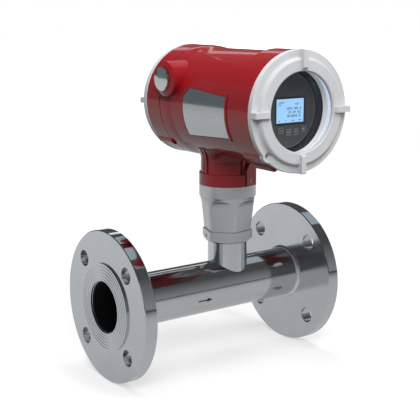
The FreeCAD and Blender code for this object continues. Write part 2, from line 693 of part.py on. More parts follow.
def adapter():
    body = make_body("adapter_body")
    lock_low, lock_top, seal_low, seal_top, end = spigot_places()
    socket = z["stem_radius"] + z["socket_gap"]
    spigot, ring = z["spigot_radius"], z["adapter_ring_radius"]
    lock_floor = spigot - z["lock_groove_depth"]
    seal_floor = spigot - z["neck_seal_depth"]
    outline = Outline(make_sketch(body, "Section", "XZ_Plane"))
    outline.to(socket, z["collar_bottom"]).to(z["collar_mouth"], z["collar_bottom"])
    outline.to(z["collar_corner"], z["collar_bottom"] + z["collar_bevel"])
    outline.to(z["collar_corner"], z["collar_top"]).to(z["waist_radius"], z["collar_top"])
    outline.to(z["shoulder_radius"], z["shoulder_height"])
    outline.to(ring, z["adapter_ring_bottom"]).to(ring, z["adapter_top"])
    outline.to(spigot, z["adapter_top"])
    outline.to(spigot, lock_low).to(lock_floor, lock_low)
    outline.to(lock_floor, lock_top).to(spigot, lock_top)
    outline.to(spigot, seal_low).to(seal_floor, seal_low)
    outline.to(seal_floor, seal_top).to(spigot, seal_top).to(spigot, end)
    outline.to(z["adapter_bore"], end).to(z["adapter_bore"], z["stem_top"])
    outline.to(socket, z["stem_top"])
    revolve(body, outline.close())
    collar = make_sketch(body, "CollarFlats", "XY_Plane", shift=(0, 0, z["collar_top"]))
    add_circle(collar, 0, 0, FAR_OUTSIDE)
    add_hexagon(collar, 0, 0, z["collar_flat"] / HEX_CORNER)
    height = z["collar_top"] - z["collar_bottom"] + CUT_MARGIN
    extrude(body, collar, height, cut=True)
    panel = Outline(make_sketch(body, "Panel", "XZ_Plane", spin=30))
    panel.to(z["flat_low"], z["collar_top"]).to(z["flat_high"], z["flat_high_height"])
    panel.arc(z["shoulder_radius"] + CUT_MARGIN, z["shoulder_height"], z["flat_runout_radius"], False)
    panel.to(FAR_OUTSIDE, z["shoulder_height"]).to(FAR_OUTSIDE, z["collar_top"])
    milled = extrude(body, panel.close(), z["collar_corner"] * 2, cut=True, both=True)
    repeat_round(body, [milled], "Z_Axis", HEX_SIDES)
    screws = make_sketch(body, "GrubHoles", "XZ_Plane", spin=-120)
    add_circle(screws, 0, z["grub_height"], z["grub_radius"])
    body.Tip = extrude(body, screws, FAR_OUTSIDE, cut=True, both=True)
    place(body, x=z["stem_offset"], axis=Vector(0, 0, 1), angle=z["adapter_turn"])
    return keep(body, "adapter")


def neck_seal():
    inner = z["spigot_radius"] - z["neck_seal_depth"]
    bore = z["spigot_radius"] + z["turn_fit"]
    middle = spigot_places()[2] + z["neck_seal_width"] / 2
    where = {"x": z["stem_offset"], "up": middle}
    return round_seal("neck_seal", inner, bore, z["seal_squeeze"], **where)


def grub_screw(name, start, end):
    """A grub screw along +Z with a hexagonal socket in its end."""
    body = make_body(name)
    round_end = make_sketch(body, "Shank", "XY_Plane", shift=(0, 0, start))
    add_circle(round_end, 0, 0, z["grub_radius"])
    extrude(body, round_end, end - start)
    socket = make_sketch(body, "Socket", "XY_Plane", shift=(0, 0, end))
    add_hexagon(socket, as_size(0), as_size(0), z["grub_socket"])
    extrude(body, socket, z["grub_socket_depth"], cut=True)
    return body


def group(label, members):
    compound = doc.addObject("Part::Compound", label + "_group")
    compound.Links = members
    return keep(compound, label)


def adapter_set_screws():
    start = z["stem_radius"] + z["seal_squeeze"]
    end = z["collar_flat"] - z["grub_inset"]
    members = []
    for side in (150, 330):
        screw = grub_screw("CollarGrub%d" % side, start, end)
        turn = Rotation(Vector(0, 0, 1), side + z["adapter_turn"].value)
        screw.Placement = Placement(Vector(), turn.multiply(Rotation(Vector(0, 1, 0), 90)))
        bind(screw, "Placement.Base.x", z["stem_offset"])
        bind(screw, "Placement.Base.z", z["grub_height"])
        members.append(screw)
    return group("adapter_set_screws", members)


# Head casting, in a frame at the middle of the barrel


def head(thing, label):
    place(thing, x=z["stem_offset"], up=z["head_height"])
    return keep(thing, label)


NECK_FOOT = z["adapter_top"] + z["turn_gap"] - z["head_height"]
NECK_RING_TOP = NECK_FOOT + z["neck_ring_height"]
BORE_TOP = spigot_places()[4] + z["spigot_end_gap"] - z["head_height"]
WALL_BACK = z["wall_front"] + z["wall_thick"]


def ring_point(circle, angle):
    """The place of a point on a circle round the barrel's axis."""
    return circle * cosine(angle), circle * sine(angle)


def barrel(body):
    ring, middle = z["ring_radius"], z["barrel_radius"]
    step = z["front_ring_length"] - z["front_face"]
    rise = ring - middle
    run = z["shoulder_end"] - z["shoulder_start"]
    bend = (run * run + rise * rise) / (rise * 4)
    halfway = (z["shoulder_start"] + z["shoulder_end"]) / 2
    line_end = z["rear_face"] - z["rear_ring_length"]
    line_start = line_end - z["rear_groove_width"]
    outline = Outline(make_sketch(body, "Barrel", "XY_Plane"))
    outline.to(0, -z["front_face"]).to(ring, -z["front_face"]).to(ring, step)
    outline.to(middle, step + z["front_step_length"]).to(middle, z["shoulder_start"])
    outline.arc((ring + middle) / 2, halfway, bend, left=False)
    outline.arc(ring, z["shoulder_end"], bend, left=True)
    outline.to(ring, line_start).to(ring - z["rear_groove_depth"], line_start)
    outline.to(ring - z["rear_groove_depth"], line_end).to(ring, line_end)
    outline.to(ring, z["rear_face"]).to(0, z["rear_face"])
    return revolve(body, outline.close())


def neck(body):
    flare_foot = NECK_RING_TOP + z["neck_flare_start"]
    flare_top = flare_foot + z["neck_flare_height"]
    outline = Outline(make_sketch(body, "Neck", "XZ_Plane"))
    outline.to(0, NECK_FOOT).to(z["adapter_ring_radius"], NECK_FOOT)
    outline.to(z["adapter_ring_radius"], NECK_RING_TOP).to(z["neck_radius"], NECK_RING_TOP)
    outline.to(z["neck_radius"], flare_foot)
    outline.arc(z["neck_flare_radius"], flare_top, z["neck_flare_height"] * FLARE_BEND, left=False)
    outline.to(0, flare_top)
    revolve(body, outline.close())
    root = make_sketch(body, "NeckRoot", "XY_Plane", shift=(0, 0, flare_top))
    add_circle(root, 0, 0, z["neck_flare_radius"])
    extrude(body, root, z["neck_root_length"])
    slots = make_sketch(body, "NeckSlots", "XY_Plane", shift=(0, 0, NECK_RING_TOP))
    middle = z["neck_radius"] - z["slot_depth"] / 2 + z["neck_flare_radius"] - z["neck_radius"]
    reach = z["slot_depth"] + (z["neck_flare_radius"] - z["neck_radius"]) * 2
    for side in (-1, 1):
        add_rectangle(slots, middle, z["slot_spread"] * side, reach, z["slot_width"])
    height = z["neck_flare_start"] + z["neck_flare_height"]
    cut = extrude(body, slots, height, cut=True, back=True)
    repeat_round(body, [cut], "Z_Axis", NECK_SIDES)


def buttresses(body):
    inner = z["neck_radius"] - z["buttress_root"]
    edge = z["neck_radius"] + z["buttress_proud"]
    top = NECK_RING_TOP + z["buttress_height"]
    outline = Outline(make_sketch(body, "Buttress", "XZ_Plane"))
    outline.to(inner, NECK_RING_TOP).to(edge, NECK_RING_TOP)
    outline.to(edge, NECK_RING_TOP + z["neck_flare_start"])
    outline.arc(z["buttress_reach"], top, z["buttress_bend"], left=False).to(inner, top)
    web = extrude(body, outline.close(), z["buttress_width"], both=True)
    mirror(body, [web], "YZ_Plane")


def arched_pad(body):
    """The pad of the lock screw, springing from the ring at the neck's foot."""
    half = z["arch_half_width"]
    spring = lock_height() + z["arch_above_screw"]
    sketch = make_sketch(body, "ArchedPad", "XZ_Plane", spin=z["arch_angle"] + 90)
    outline = Outline(sketch)
    outline.to(-half, NECK_FOOT).to(half, NECK_FOOT).to(half, spring)
    outline.arc(0, spring + half, half, left=True).arc(-half, spring, half, left=True)
    extrude(body, outline.close(), z["arch_reach"])


def entry_bosses(body):
    start = z["boss_reach"] / 2
    shift = (0, z["boss_place"], z["boss_rise"])
    outline = Outline(make_sketch(body, "EntryBoss", "XY_Plane", shift=shift))
    outline.to(-start, 0).to(-start, z["boss_radius"])
    outline.to(z["boss_bevel_depth"] - z["boss_reach"], z["boss_radius"])
    outline.to(-z["boss_reach"], z["boss_radius"] - z["boss_bevel"]).to(-z["boss_reach"], 0)
    boss = revolve(body, outline.close(), "H_Axis")
    mirror(body, [boss], "YZ_Plane")


def lock_bulges(body):
    across, up = ring_point(z["cover_lock_circle"], z["cover_lock_angle"])
    front = make_sketch(body, "FrontBulge", "XZ_Plane", shift=(0, 0, z["front_face"]))
    add_circle(front, across, up, z["lock_boss_radius"])
    extrude(body, front, z["lock_boss_length"], back=True)
    pad_across, pad_up = ring_point(z["foot_pad_circle"], z["foot_pad_angle"])
    pad = make_sketch(body, "FootPad", "XZ_Plane", shift=(0, 0, z["front_face"]))
    add_circle(pad, pad_across, pad_up, z["foot_pad_radius"])
    extrude(body, pad, z["foot_pad_length"], back=True)
    rear = make_sketch(body, "RearBulge", "XZ_Plane", shift=(0, 0, -z["rear_face"]))
    add_circle(rear, across, up, z["lock_boss_radius"])
    extrude(body, rear, z["rear_ring_length"])


def chambers(body):
    """Both chambers, with their cover threads and the counterbores of the seals."""
    bore, thread, seat = z["chamber_radius"], z["thread_radius"], z["seal_seat_radius"]
    front, rear = -z["front_face"], z["rear_face"]
    sketch = make_sketch(body, "Chambers", "XY_Plane")
    chamber = Outline(sketch)
    chamber.to(0, front - CUT_MARGIN).to(seat, front - CUT_MARGIN)
    chamber.to(seat, front + z["seal_seat_depth"]).to(thread, front + z["seal_seat_depth"])
    chamber.to(thread, front + z["thread_length"]).to(bore, front + z["thread_length"])
    chamber.to(bore, z["wall_front"]).to(0, z["wall_front"])
    chamber.close()
    chamber = Outline(sketch)
    chamber.to(0, WALL_BACK).to(bore, WALL_BACK).to(bore, rear - z["thread_length"])
    chamber.to(thread, rear - z["thread_length"]).to(thread, rear - z["seal_seat_depth"])
    chamber.to(seat, rear - z["seal_seat_depth"]).to(seat, rear + CUT_MARGIN)
    chamber.to(0, rear + CUT_MARGIN)
    chamber.close()
    revolve(body, sketch, cut=True)


def housing_bores(body):
    foot = make_sketch(body, "NeckBore", "XY_Plane", shift=(0, 0, NECK_FOOT))
    add_circle(foot, 0, 0, z["spigot_radius"] + z["turn_fit"])
    extrude(body, foot, BORE_TOP - NECK_FOOT, cut=True, back=True)
    duct = make_sketch(body, "WireDuct", "XY_Plane", shift=(0, 0, BORE_TOP))
    add_circle(duct, 0, z["duct_offset"], z["duct_radius"])
    extrude(body, duct, -BORE_TOP - z["chamber_radius"] / 2, cut=True, back=True)
    shift = (0, z["boss_place"], z["boss_rise"])
    entry = Outline(make_sketch(body, "CableEntry", "XY_Plane", shift=shift))
    reach = z["boss_reach"] + CUT_MARGIN
    entry.to(-reach, 0).to(reach, 0).to(reach, z["entry_radius"]).to(-reach, z["entry_radius"])
    revolve(body, entry.close(), "H_Axis", cut=True)
    lock = make_sketch(body, "NeckLock", "XZ_Plane", spin=z["arch_angle"] + 90)
    add_circle(lock, 0, lock_height(), z["grub_radius"] + z["cover_lock_gap"])
    extrude(body, lock, z["arch_reach"] + CUT_MARGIN, cut=True, back=True)
    across, up = ring_point(z["cover_lock_circle"], z["cover_lock_angle"])
    depth = z["cover_lock_length"] + z["cover_lock_inset"] + CUT_MARGIN
    for name, face, back in (("FrontLock", z["front_face"], False), ("RearLock", -z["rear_face"], True)):
        hole = make_sketch(body, name, "XZ_Plane", shift=(0, 0, face))
        add_circle(hole, across, up, z["cover_lock_radius"] + z["cover_lock_gap"])
        extrude(body, hole, depth, cut=True, back=back)
    feed = make_sketch(body, "FeedHole", "XZ_Plane", shift=(0, 0, -z["wall_front"]))
    add_circle(feed, z["feed_hole_x"], z["feed_hole_z"], z["feed_hole_radius"])
    extrude(body, feed, (z["wall_thick"] + CUT_MARGIN) * 2, cut=True, both=True)


def lock_height():
    """Height of the neck's lock screw in the head's frame."""
    return spigot_places()[0] + z["lock_groove_width"] / 2 - z["head_height"]


def tube_shell(name, inner, outer, start, end):
    """A round shell about the barrel's axis, from start to end along it."""
    body = make_body(name)
    outline = Outline(make_sketch(body, "Shell", "XY_Plane"))
    outline.to(inner, start).to(outer, start).to(outer, end).to(inner, end)
    revolve(body, outline.close())
    return body


def side_prism(name, draw, side):
    """A prism through one side of the barrel, drawn as seen from that side."""
    body = make_body(name)
    sketch = make_sketch(body, "SideView", "YZ_Plane")
    draw(sketch)
    extrude(body, sketch, FAR_OUTSIDE, back=side < 0)
    return body


def draw_flank(sketch):
    front, crease = -z["flank_front"], -z["crease_start"]
    outline = Outline(sketch)
    outline.to(front, -z["flank_bottom"]).to(z["flank_rear"], -z["flank_bottom"])
    outline.to(z["flank_rear"], z["flank_top_rear"])
    outline.arc(crease, z["flank_top_front"], z["crease_radius"], left=False)
    outline.to(front, z["flank_top_front"])
    outline.close()


def draw_plate(sketch, grow=0):
    """The nameplate's outline, moved outwards by grow."""
    front, rear = -z["plate_front"] - grow, -z["plate_rear"] + grow
    outline = Outline(sketch)
    outline.to(front, -z["plate_low_front"] - grow).to(rear, -z["plate_low_rear"] - grow)
    outline.to(rear, z["plate_top_rear"] - z["plate_cut"])
    outline.to(rear - z["plate_cut"], z["plate_top_rear"] + grow)
    outline.to(front, z["plate_top_front"] + grow)
    outline.close()


def boolean(kind, name, base, tool):
    result = doc.addObject("Part::" + kind, name)
    result.Base = base
    result.Tool = tool
    return result


def entry_bar(name):
    """A bar that fills both cable entries from side to side."""
    bar = doc.addObject("Part::Cylinder", name + "EntryBar")
    bar.Radius = bind(bar, "Radius", z["entry_radius"])
    bar.Height = bind(bar, "Height", z["boss_reach"] * 2)
    place(bar, x=-z["boss_reach"], y=z["boss_place"], up=z["boss_rise"], axis=Vector(0, 1, 0), angle=90)
    return bar


def flank_pair():
    """Raised flanks on both sides, and the space that they clear above them."""
    inside = (z["thread_radius"] + z["barrel_radius"]) / 2
    solids, spaces = [], []
    for side, name in ((-1, "Near"), (1, "Far")):
        start, end = -z["front_face"] + CUT_MARGIN, z["rear_face"] - CUT_MARGIN
        shell = tube_shell(name + "Wall", inside, z["flank_radius"], start, end)
        prism = side_prism(name + "FlankPrism", draw_flank, side)
        flank = boolean("Common", name + "Flank", shell, prism)
        solids.append(boolean("Cut", name + "BoredFlank", flank, entry_bar(name)))
        clear_start = z["front_ring_length"] - z["front_face"]
        clear_end = z["shoulder_start"]
        air = tube_shell(name + "Air", z["flank_radius"], FAR_OUTSIDE, clear_start, clear_end)
        prism = side_prism(name + "AirPrism", draw_flank, side)
        spaces.append(boolean("Common", name + "Space", air, prism))
    return solids, spaces


def plate_lip():
    inside = (z["thread_radius"] + z["barrel_radius"]) / 2
    outside = z["flank_radius"] + z["lip_height"]
    shell = tube_shell("LipShell", inside, outside, -z["front_face"], z["rear_face"])
    wide = side_prism("LipOuter", lambda s: draw_plate(s, z["plate_gap"] + z["lip_width"]), -1)
    solid = boolean("Common", "LipSolid", shell, wide)
    bed = tube_shell("PlateBed", z["flank_radius"], FAR_OUTSIDE, -z["front_face"], z["rear_face"])
    narrow = side_prism("LipInner", lambda s: draw_plate(s, z["plate_gap"]), -1)
    space = boolean("Common", "PlateSpace", bed, narrow)
    return boolean("Cut", "PlateLip", solid, space)


def housing():
    body = make_body("casting_body")
    barrel(body)
    neck(body)
    buttresses(body)
    arched_pad(body)
    entry_bosses(body)
    lock_bulges(body)
    chambers(body)
    housing_bores(body)
    solids, spaces = flank_pair()
    air = doc.addObject("Part::MultiFuse", "FlankAir")
    air.Shapes = spaces
    cut = boolean("Cut", "ClearedCasting", body, air)
    whole = doc.addObject("Part::MultiFuse", "housing_casting")
    whole.Shapes = [cut] + solids + [plate_lip()]
    return head(whole, "housing")


def nameplate():
    outer = z["flank_radius"] + z["plate_thick"]
    shell = tube_shell("PlateShell", z["flank_radius"], outer, -z["front_face"], z["rear_face"])
    prism = side_prism("PlatePrism", draw_plate, -1)
    return head(boolean("Common", "plate_sheet", shell, prism), "nameplate")


def neck_lock_screw():
    start = z["spigot_radius"] + z["turn_gap"]
    end = z["arch_reach"] - z["grub_inset"]
    screw = grub_screw("NeckGrub", start, end)
    turn = Rotation(Vector(0, 0, 1), z["arch_angle"].value)
    screw.Placement = Placement(Vector(), turn.multiply(Rotation(Vector(0, 1, 0), 90)))
    bind(screw, "Placement.Base.x", z["stem_offset"])
    bind(screw, "Placement.Base.z", lock_height() + z["head_height"])
    return keep(screw, "neck_lock_screw")


def cover_lock_screws():
    across, up = ring_point(z["cover_lock_circle"], z["cover_lock_angle"])
    members = []
    faces = ((z["front_face"], "FrontLockScrew", 1), (z["rear_face"], "RearLockScrew", -1))
    for face, name, side in faces:
        body = make_body(name)
        place_along = (face - z["cover_lock_inset"]) * side
        end = make_sketch(body, "Shank", "XZ_Plane", shift=(0, 0, place_along))
        add_circle(end, 0, 0, z["cover_lock_radius"])
        extrude(body, end, z["cover_lock_length"], back=side > 0)
        socket = make_sketch(body, "Socket", "XZ_Plane", shift=(0, 0, place_along))
        add_hexagon(socket, as_size(0), as_size(0), z["cover_lock_socket"])
        extrude(body, socket, z["grub_socket_depth"], cut=True, back=side < 0)
        place(body, x=z["stem_offset"] + across, up=z["head_height"] + up)
        members.append(body)
    return group("cover_lock_screws", members)


# Covers


def lugs(body, band, tip, inner, side):
    """Four lugs across the ring of a cover; side is -1 at the front and 1 at the rear."""
    outer, nose, step = z["cover_radius"], z["lug_nose"], z["cover_ring_radius"]
    foot = band - z["cover_rim_thick"] / 2 * side
    top = band + z["cover_ring_rise"] * side
    root = top - z["lug_root"] * side
    outline = Outline(make_sketch(body, "Lug", "XY_Plane"))
    outline.to(inner, root).to(inner, top).to(inner + z["lug_slope"], tip)
    outline.to(outer - nose, tip).to(outer, tip - nose * side).to(outer, foot)
    outline.to(step, foot).to(step, root)
    bar = extrude(body, outline.close(), z["lug_width"], both=True)
    repeat_round(body, [bar], "Y_Axis", COVER_LUGS)


def front_cover():
    body = make_body("front_cover_body")
    back = -z["front_face"] - z["cover_gap"]
    band = back - z["cover_rim_thick"]
    top = band - z["cover_ring_rise"]
    seat = top + z["window_lip"]
    spigot, end = z["thread_radius"] - z["thread_fit"], back + z["spigot_length"]
    outer, edge = z["cover_radius"], z["cover_chamfer"]
    outline = Outline(make_sketch(body, "Section", "XY_Plane"))
    outline.to(z["glass_seat_radius"], end).to(spigot - edge, end).to(spigot, end - edge)
    outline.to(spigot, back).to(outer - edge, back).to(outer, back - edge)
    outline.to(outer, band + edge).to(outer - edge, band)
    outline.to(z["cover_foot_radius"], band)
    outline.to(z["cover_foot_radius"] - edge * 2, band - z["cover_slope_rise"])
    outline.arc(z["cover_ring_radius"], top, z["cover_shoulder_bend"], left=False)
    opening = z["glass_seat_radius"] - z["window_ledge"]
    outline.to(opening + z["window_bevel"], top)
    outline.to(opening, top + z["window_bevel"]).to(opening, seat)
    outline.to(z["glass_seat_radius"], seat)
    revolve(body, outline.close())
    window = z["glass_seat_radius"] - z["window_ledge"]
    lugs(body, band, band - z["lug_rise"], window + z["window_bevel"] + z["lug_inner_land"], -1)
    across, up = ring_point(z["cover_lock_circle"], z["cover_lock_angle"])
    ear = make_sketch(body, "LockEar", "XZ_Plane", shift=(0, 0, -back))
    add_circle(ear, across, up, z["lock_boss_radius"])
    extrude(body, ear, z["cover_rim_thick"])
    notch = make_sketch(body, "LockNotch", "XZ_Plane", shift=(0, 0, -band + CUT_MARGIN))
    add_circle(notch, across, up, z["notch_radius"])
    extrude(body, notch, z["notch_depth"] + CUT_MARGIN, cut=True)
    hole = make_sketch(body, "LockHole", "XZ_Plane", shift=(0, 0, -band + CUT_MARGIN))
    add_circle(hole, across, up, z["cover_lock_radius"] + z["notch_hole_gap"])
    body.Tip = extrude(body, hole, z["cover_rim_thick"] + CUT_MARGIN * 2, cut=True)
    return head(body, "front_cover")


def glass_front():
    """Where the glass rests against the lip of the front cover."""
    back = -z["front_face"] - z["cover_gap"]
    return back - z["cover_rim_thick"] - z["cover_ring_rise"] + z["window_lip"]


def window_glass():
    body = make_body("glass_body")
    radius, start = z["glass_seat_radius"] - z["glass_gap"], glass_front()
    end, edge = start + z["glass_thick"], z["cover_chamfer"]
    outline = Outline(make_sketch(body, "Section", "XY_Plane"))
    outline.to(0, start).to(radius - edge, start).to(radius, start + edge)
    outline.to(radius, end - edge).to(radius - edge, end).to(0, end)
    revolve(body, outline.close())
    return head(body, "window_glass")


def glass_ring():
    start = glass_front() + z["glass_thick"]
    outer = z["glass_seat_radius"] - z["glass_gap"]
    end = start + z["glass_ring_length"]
    ring = tube_shell("glass_ring_body", outer - z["glass_ring_wall"], outer, start, end)
    return head(ring, "glass_ring")


def rear_cover():
    body = make_body("rear_cover_body")
    back = z["rear_face"] + z["cover_gap"]
    band = back + z["cover_rim_thick"]
    top = band + z["cover_ring_rise"]
    spigot, end = z["thread_radius"] - z["thread_fit"], back - z["spigot_length"]
    outer, edge = z["cover_radius"], z["cover_chamfer"]
    outline = Outline(make_sketch(body, "Section", "XY_Plane"))
    outline.to(z["rear_cover_bore"], end).to(z["rear_cover_bore"], top - z["rear_cover_wall"])
    outline.to(0, top - z["rear_cover_wall"]).to(0, top).to(z["cover_ring_radius"], top)
    outline.arc(z["cover_foot_radius"] - edge * 2, band + z["cover_slope_rise"],
                z["cover_shoulder_bend"], left=False)
    outline.to(z["cover_foot_radius"], band)
    outline.to(outer - edge, band).to(outer, band - edge).to(outer, back + edge)
    outline.to(outer - edge, back).to(spigot, back).to(spigot, end + edge)
    outline.to(spigot - edge, end)
    revolve(body, outline.close())
    lugs(body, band, band + z["rear_lug_rise"], z["rear_lug_inner"], 1)
    return head(body, "rear_cover")


def cover_seal(label, face, side):
    """A round seal in the corner between a cover and the barrel's counterbore."""
    seal = doc.addObject("Part::Torus", label)
    spigot = z["thread_radius"] - z["thread_fit"]
    seal.Radius1 = bind(seal, "Radius1", (spigot + z["seal_seat_radius"]) / 2)
    seal.Radius2 = bind(seal, "Radius2", (z["seal_seat_radius"] - spigot) / 2 - z["seal_squeeze"])
    middle = (face - (z["seal_seat_depth"] - z["cover_gap"]) / 2) * side
    turn = {"axis": Vector(1, 0, 0), "angle": 90}
    place(seal, x=z["stem_offset"], y=middle, up=z["head_height"], **turn)
    return keep(seal, label)


# Display module: distances in front of the barrel's middle, each from the one before

BEZEL_RIM = -glass_front() - z["glass_thick"] - z["glass_ring_length"] - z["bezel_gap"]
BEZEL_FACE = BEZEL_RIM - z["bezel_depth"]
BEZEL_RADIUS = z["glass_seat_radius"] - z["bezel_inset"]
DISPLAY_BOARD = BEZEL_FACE - z["display_board_depth"]
MAIN_BOARD = DISPLAY_BOARD - z["board_thick"] - z["front_post_length"]
POWER_BOARD = MAIN_BOARD - z["board_thick"] - z["middle_post_length"]
SCREW_CIRCLE = BEZEL_RADIUS - z["bezel_wall"] - z["screw_boss_inset"]

KEY_SPOTS = [(-1.5, 0), (-0.5, 1), (0.5, 1), (1.5, 0)]


def key_centre(spot):
    step, low = spot
    return z["key_row_x"] + z["key_pitch"] * step, z["key_row_z"] - z["key_row_sag"] * low


def display_bezel():
    body = make_body("bezel_body")
    face, rim, end = -BEZEL_FACE, -BEZEL_RIM, z["bezel_length"] - BEZEL_RIM
    outer, inner = BEZEL_RADIUS, BEZEL_RADIUS - z["bezel_wall"]
    mouth = outer - z["bezel_rim_width"]
    floor = mouth - z["bezel_cone"]
    back = face + z["bezel_face_thick"]
    outline = Outline(make_sketch(body, "Section", "XY_Plane"))
    outline.to(0, face).to(floor - z["bezel_bevel_width"], face)
    outline.to(floor, face - z["bezel_edge_rise"]).to(mouth, rim)
    outline.to(outer, rim).to(outer, end).to(inner, end).to(inner, back).to(0, back)
    revolve(body, outline.close())
    bosses = make_sketch(body, "ScrewBoss", "XZ_Plane", shift=(0, 0, -back))
    add_circle(bosses, 0, SCREW_CIRCLE, z["screw_boss_radius"])
    boss_length = -DISPLAY_BOARD - back
    boss = extrude(body, bosses, boss_length, back=True)
    repeat_round(body, [boss], "Y_Axis", BOARD_SCREWS)
    window = make_sketch(body, "ScreenWindow", "XZ_Plane", shift=(0, 0, -face))
    add_rectangle(window, z["screen_x"], z["screen_z"], z["screen_width"], z["screen_height"])
    for spot in KEY_SPOTS:
        across, up = key_centre(spot)
        side = z["key_size"] + z["key_gap"] * 2
        add_rectangle(window, across, up, side, side)
    extrude(body, window, z["bezel_face_thick"] * 2 + CUT_MARGIN, cut=True, both=True)
    holes = make_sketch(body, "BossHole", "XZ_Plane", shift=(0, 0, DISPLAY_BOARD))
    add_circle(holes, 0, SCREW_CIRCLE, z["board_screw_radius"])
    hole = extrude(body, holes, z["board_screw_depth"], cut=True, back=True)
    repeat_round(body, [hole], "Y_Axis", BOARD_SCREWS)
    return head(body, "display_bezel")


def stack_of_boxes(name, boxes):
    """Blocks set one behind the other; each is (width, height, centre x, centre z, start, end)."""
    body = make_body(name)
    for width, height, across, up, start, end in boxes:
        sketch = make_sketch(body, "Block", "XZ_Plane", shift=(0, 0, -start))
        add_rectangle(sketch, as_size(across), as_size(up), width, height)
        extrude(body, sketch, end - start, back=True)
    return body


def lcd_panel():
    gap, lip = z["screen_gap"] * 2, z["screen_lip"] * 2
    face = z["screen_inset"] - BEZEL_FACE
    back = z["bezel_face_thick"] - BEZEL_FACE
    board = -DISPLAY_BOARD
    wide, tall = z["screen_width"], z["screen_height"]
    boxes = [
        (wide - gap, tall - gap, z["screen_x"], z["screen_z"], face, back),
        (wide + lip, tall + lip, z["screen_x"], z["screen_z"], back, board),
    ]
    return head(stack_of_boxes("screen_body", boxes), "lcd_panel")


def key(label, spot):
    across, up = key_centre(spot)
    face = -BEZEL_FACE - z["key_proud"]
    collar = z["bezel_face_thick"] - BEZEL_FACE + z["key_gap"]
    collar_end = collar + z["key_collar_thick"]
    switch_top = -DISPLAY_BOARD - z["switch_height"]
    tip = switch_top - z["switch_reserve"] - z["key_travel"]
    wide = z["key_size"] + z["key_collar"] * 2
    boxes = [
        (z["key_size"], z["key_size"], 0, 0, face, collar),
        (wide, wide, 0, 0, collar, collar_end),
    ]
    body = stack_of_boxes(label + "_body", boxes)
    plunger = make_sketch(body, "Plunger", "XZ_Plane", shift=(0, 0, -collar_end))
    add_circle(plunger, 0, 0, z["key_stem_radius"])
    extrude(body, plunger, tip - collar_end, back=True)
    place(body, x=z["stem_offset"] + across, up=z["head_height"] + up)
    return keep(body, label)


def key_switches():
    board = -DISPLAY_BOARD
    members = []
    for number, spot in enumerate(KEY_SPOTS):
        across, up = key_centre(spot)
        top = board - z["switch_height"]
        middle = board - z["switch_body"]
        boxes = [(z["switch_size"], z["switch_size"], 0, 0, middle, board)]
        body = stack_of_boxes("Switch%d" % number, boxes)
        button = make_sketch(body, "Button", "XZ_Plane", shift=(0, 0, -top))
        add_circle(button, 0, 0, z["key_stem_radius"])
        extrude(body, button, middle - top, back=True)
        place(body, x=z["stem_offset"] + across, up=z["head_height"] + up)
        members.append(body)
    return group("key_switches", members)


def round_board(name, face, radius):
    body = make_body(name)
    sketch = make_sketch(body, "Board", "XZ_Plane", shift=(0, 0, face))
    add_circle(sketch, 0, 0, radius)
    extrude(body, sketch, z["board_thick"], back=True)
    return body


def display_board():
    body = round_board("display_board_body", DISPLAY_BOARD, BEZEL_RADIUS - z["bezel_wall"] - z["display_board_gap"])
    sketch = make_sketch(body, "ScrewHole", "XZ_Plane", shift=(0, 0, DISPLAY_BOARD))
    add_circle(sketch, 0, SCREW_CIRCLE, z["board_screw_radius"] + z["cover_lock_gap"])
    hole = extrude(body, sketch, (z["board_thick"] + CUT_MARGIN) * 2, cut=True, both=True)
    repeat_round(body, [hole], "Y_Axis", BOARD_SCREWS)
    return head(body, "display_board")


def board_screws():
    board_back = z["board_thick"] - DISPLAY_BOARD
    tip = z["board_screw_depth"] - z["board_screw_end"] + z["board_thick"]
    members = []
    for k in range(BOARD_SCREWS):
        body = make_body("BoardScrew%d" % k)
        head_sketch = make_sketch(body, "Head", "XZ_Plane", shift=(0, 0, -board_back))
        angle = math.radians(SCREW_START + 360 * k / BOARD_SCREWS)
        across = SCREW_CIRCLE * math.cos(angle)
        up = SCREW_CIRCLE * math.sin(angle)
        add_circle(head_sketch, 0, 0, z["board_screw_head"])
        extrude(body, head_sketch, z["board_screw_head_thick"], back=True)
        shank = make_sketch(body, "Shank", "XZ_Plane", shift=(0, 0, -board_back))
        add_circle(shank, 0, 0, z["board_screw_radius"] - z["seal_squeeze"])
        extrude(body, shank, tip)
        place(body, x=z["stem_offset"] + across, up=z["head_height"] + up)
        members.append(body)
    return group("board_screws", members)


def posts(label, start, end):
    """Three hexagonal posts between two places along the barrel."""
    members = []
    for k in range(BOARD_SCREWS):
        body = make_body("%s%d" % (label, k))
        sketch = make_sketch(body, "Hexagon", "XZ_Plane", shift=(0, 0, -start))
        add_hexagon(sketch, as_size(0), as_size(0), z["post_radius"])
        extrude(body, sketch, end - start, back=True)
        angle = math.radians(POST_START + 360 * k / BOARD_SCREWS)
        across = z["post_circle"] * math.cos(angle)
        up = z["post_circle"] * math.sin(angle)
        place(body, x=z["stem_offset"] + across, up=z["head_height"] + up)
        members.append(body)
    return group(label, members)


def loaded_board(label, face, chips):
    """A round board with blocks on its rear side; each chip is (width, height, x, z, thickness)."""
    body = round_board(label + "_body", face, z["board_radius"])
    back = z["board_thick"] - face
    for width, height, across, up, thick in chips:
        sketch = make_sketch(body, "Chip", "XZ_Plane", shift=(0, 0, -back))
        add_rectangle(sketch, as_size(across), as_size(up), as_size(width), as_size(height))
        extrude(body, sketch, as_size(thick), back=True)
    return head(body, label)


MAIN_CHIPS = [(14, 14, -2, 4, 2.4), (9, 6, 18, -14, 2.0), (6, 12, -22, -10, 3.0), (20, 5, 0, 26, 6.0)]
POWER_CHIPS = [(22, 18, -12, 6, 15.0), (12, 12, 16, 8, 11.0), (18, 6, 4, -24, 8.0)]


# Terminal chamber


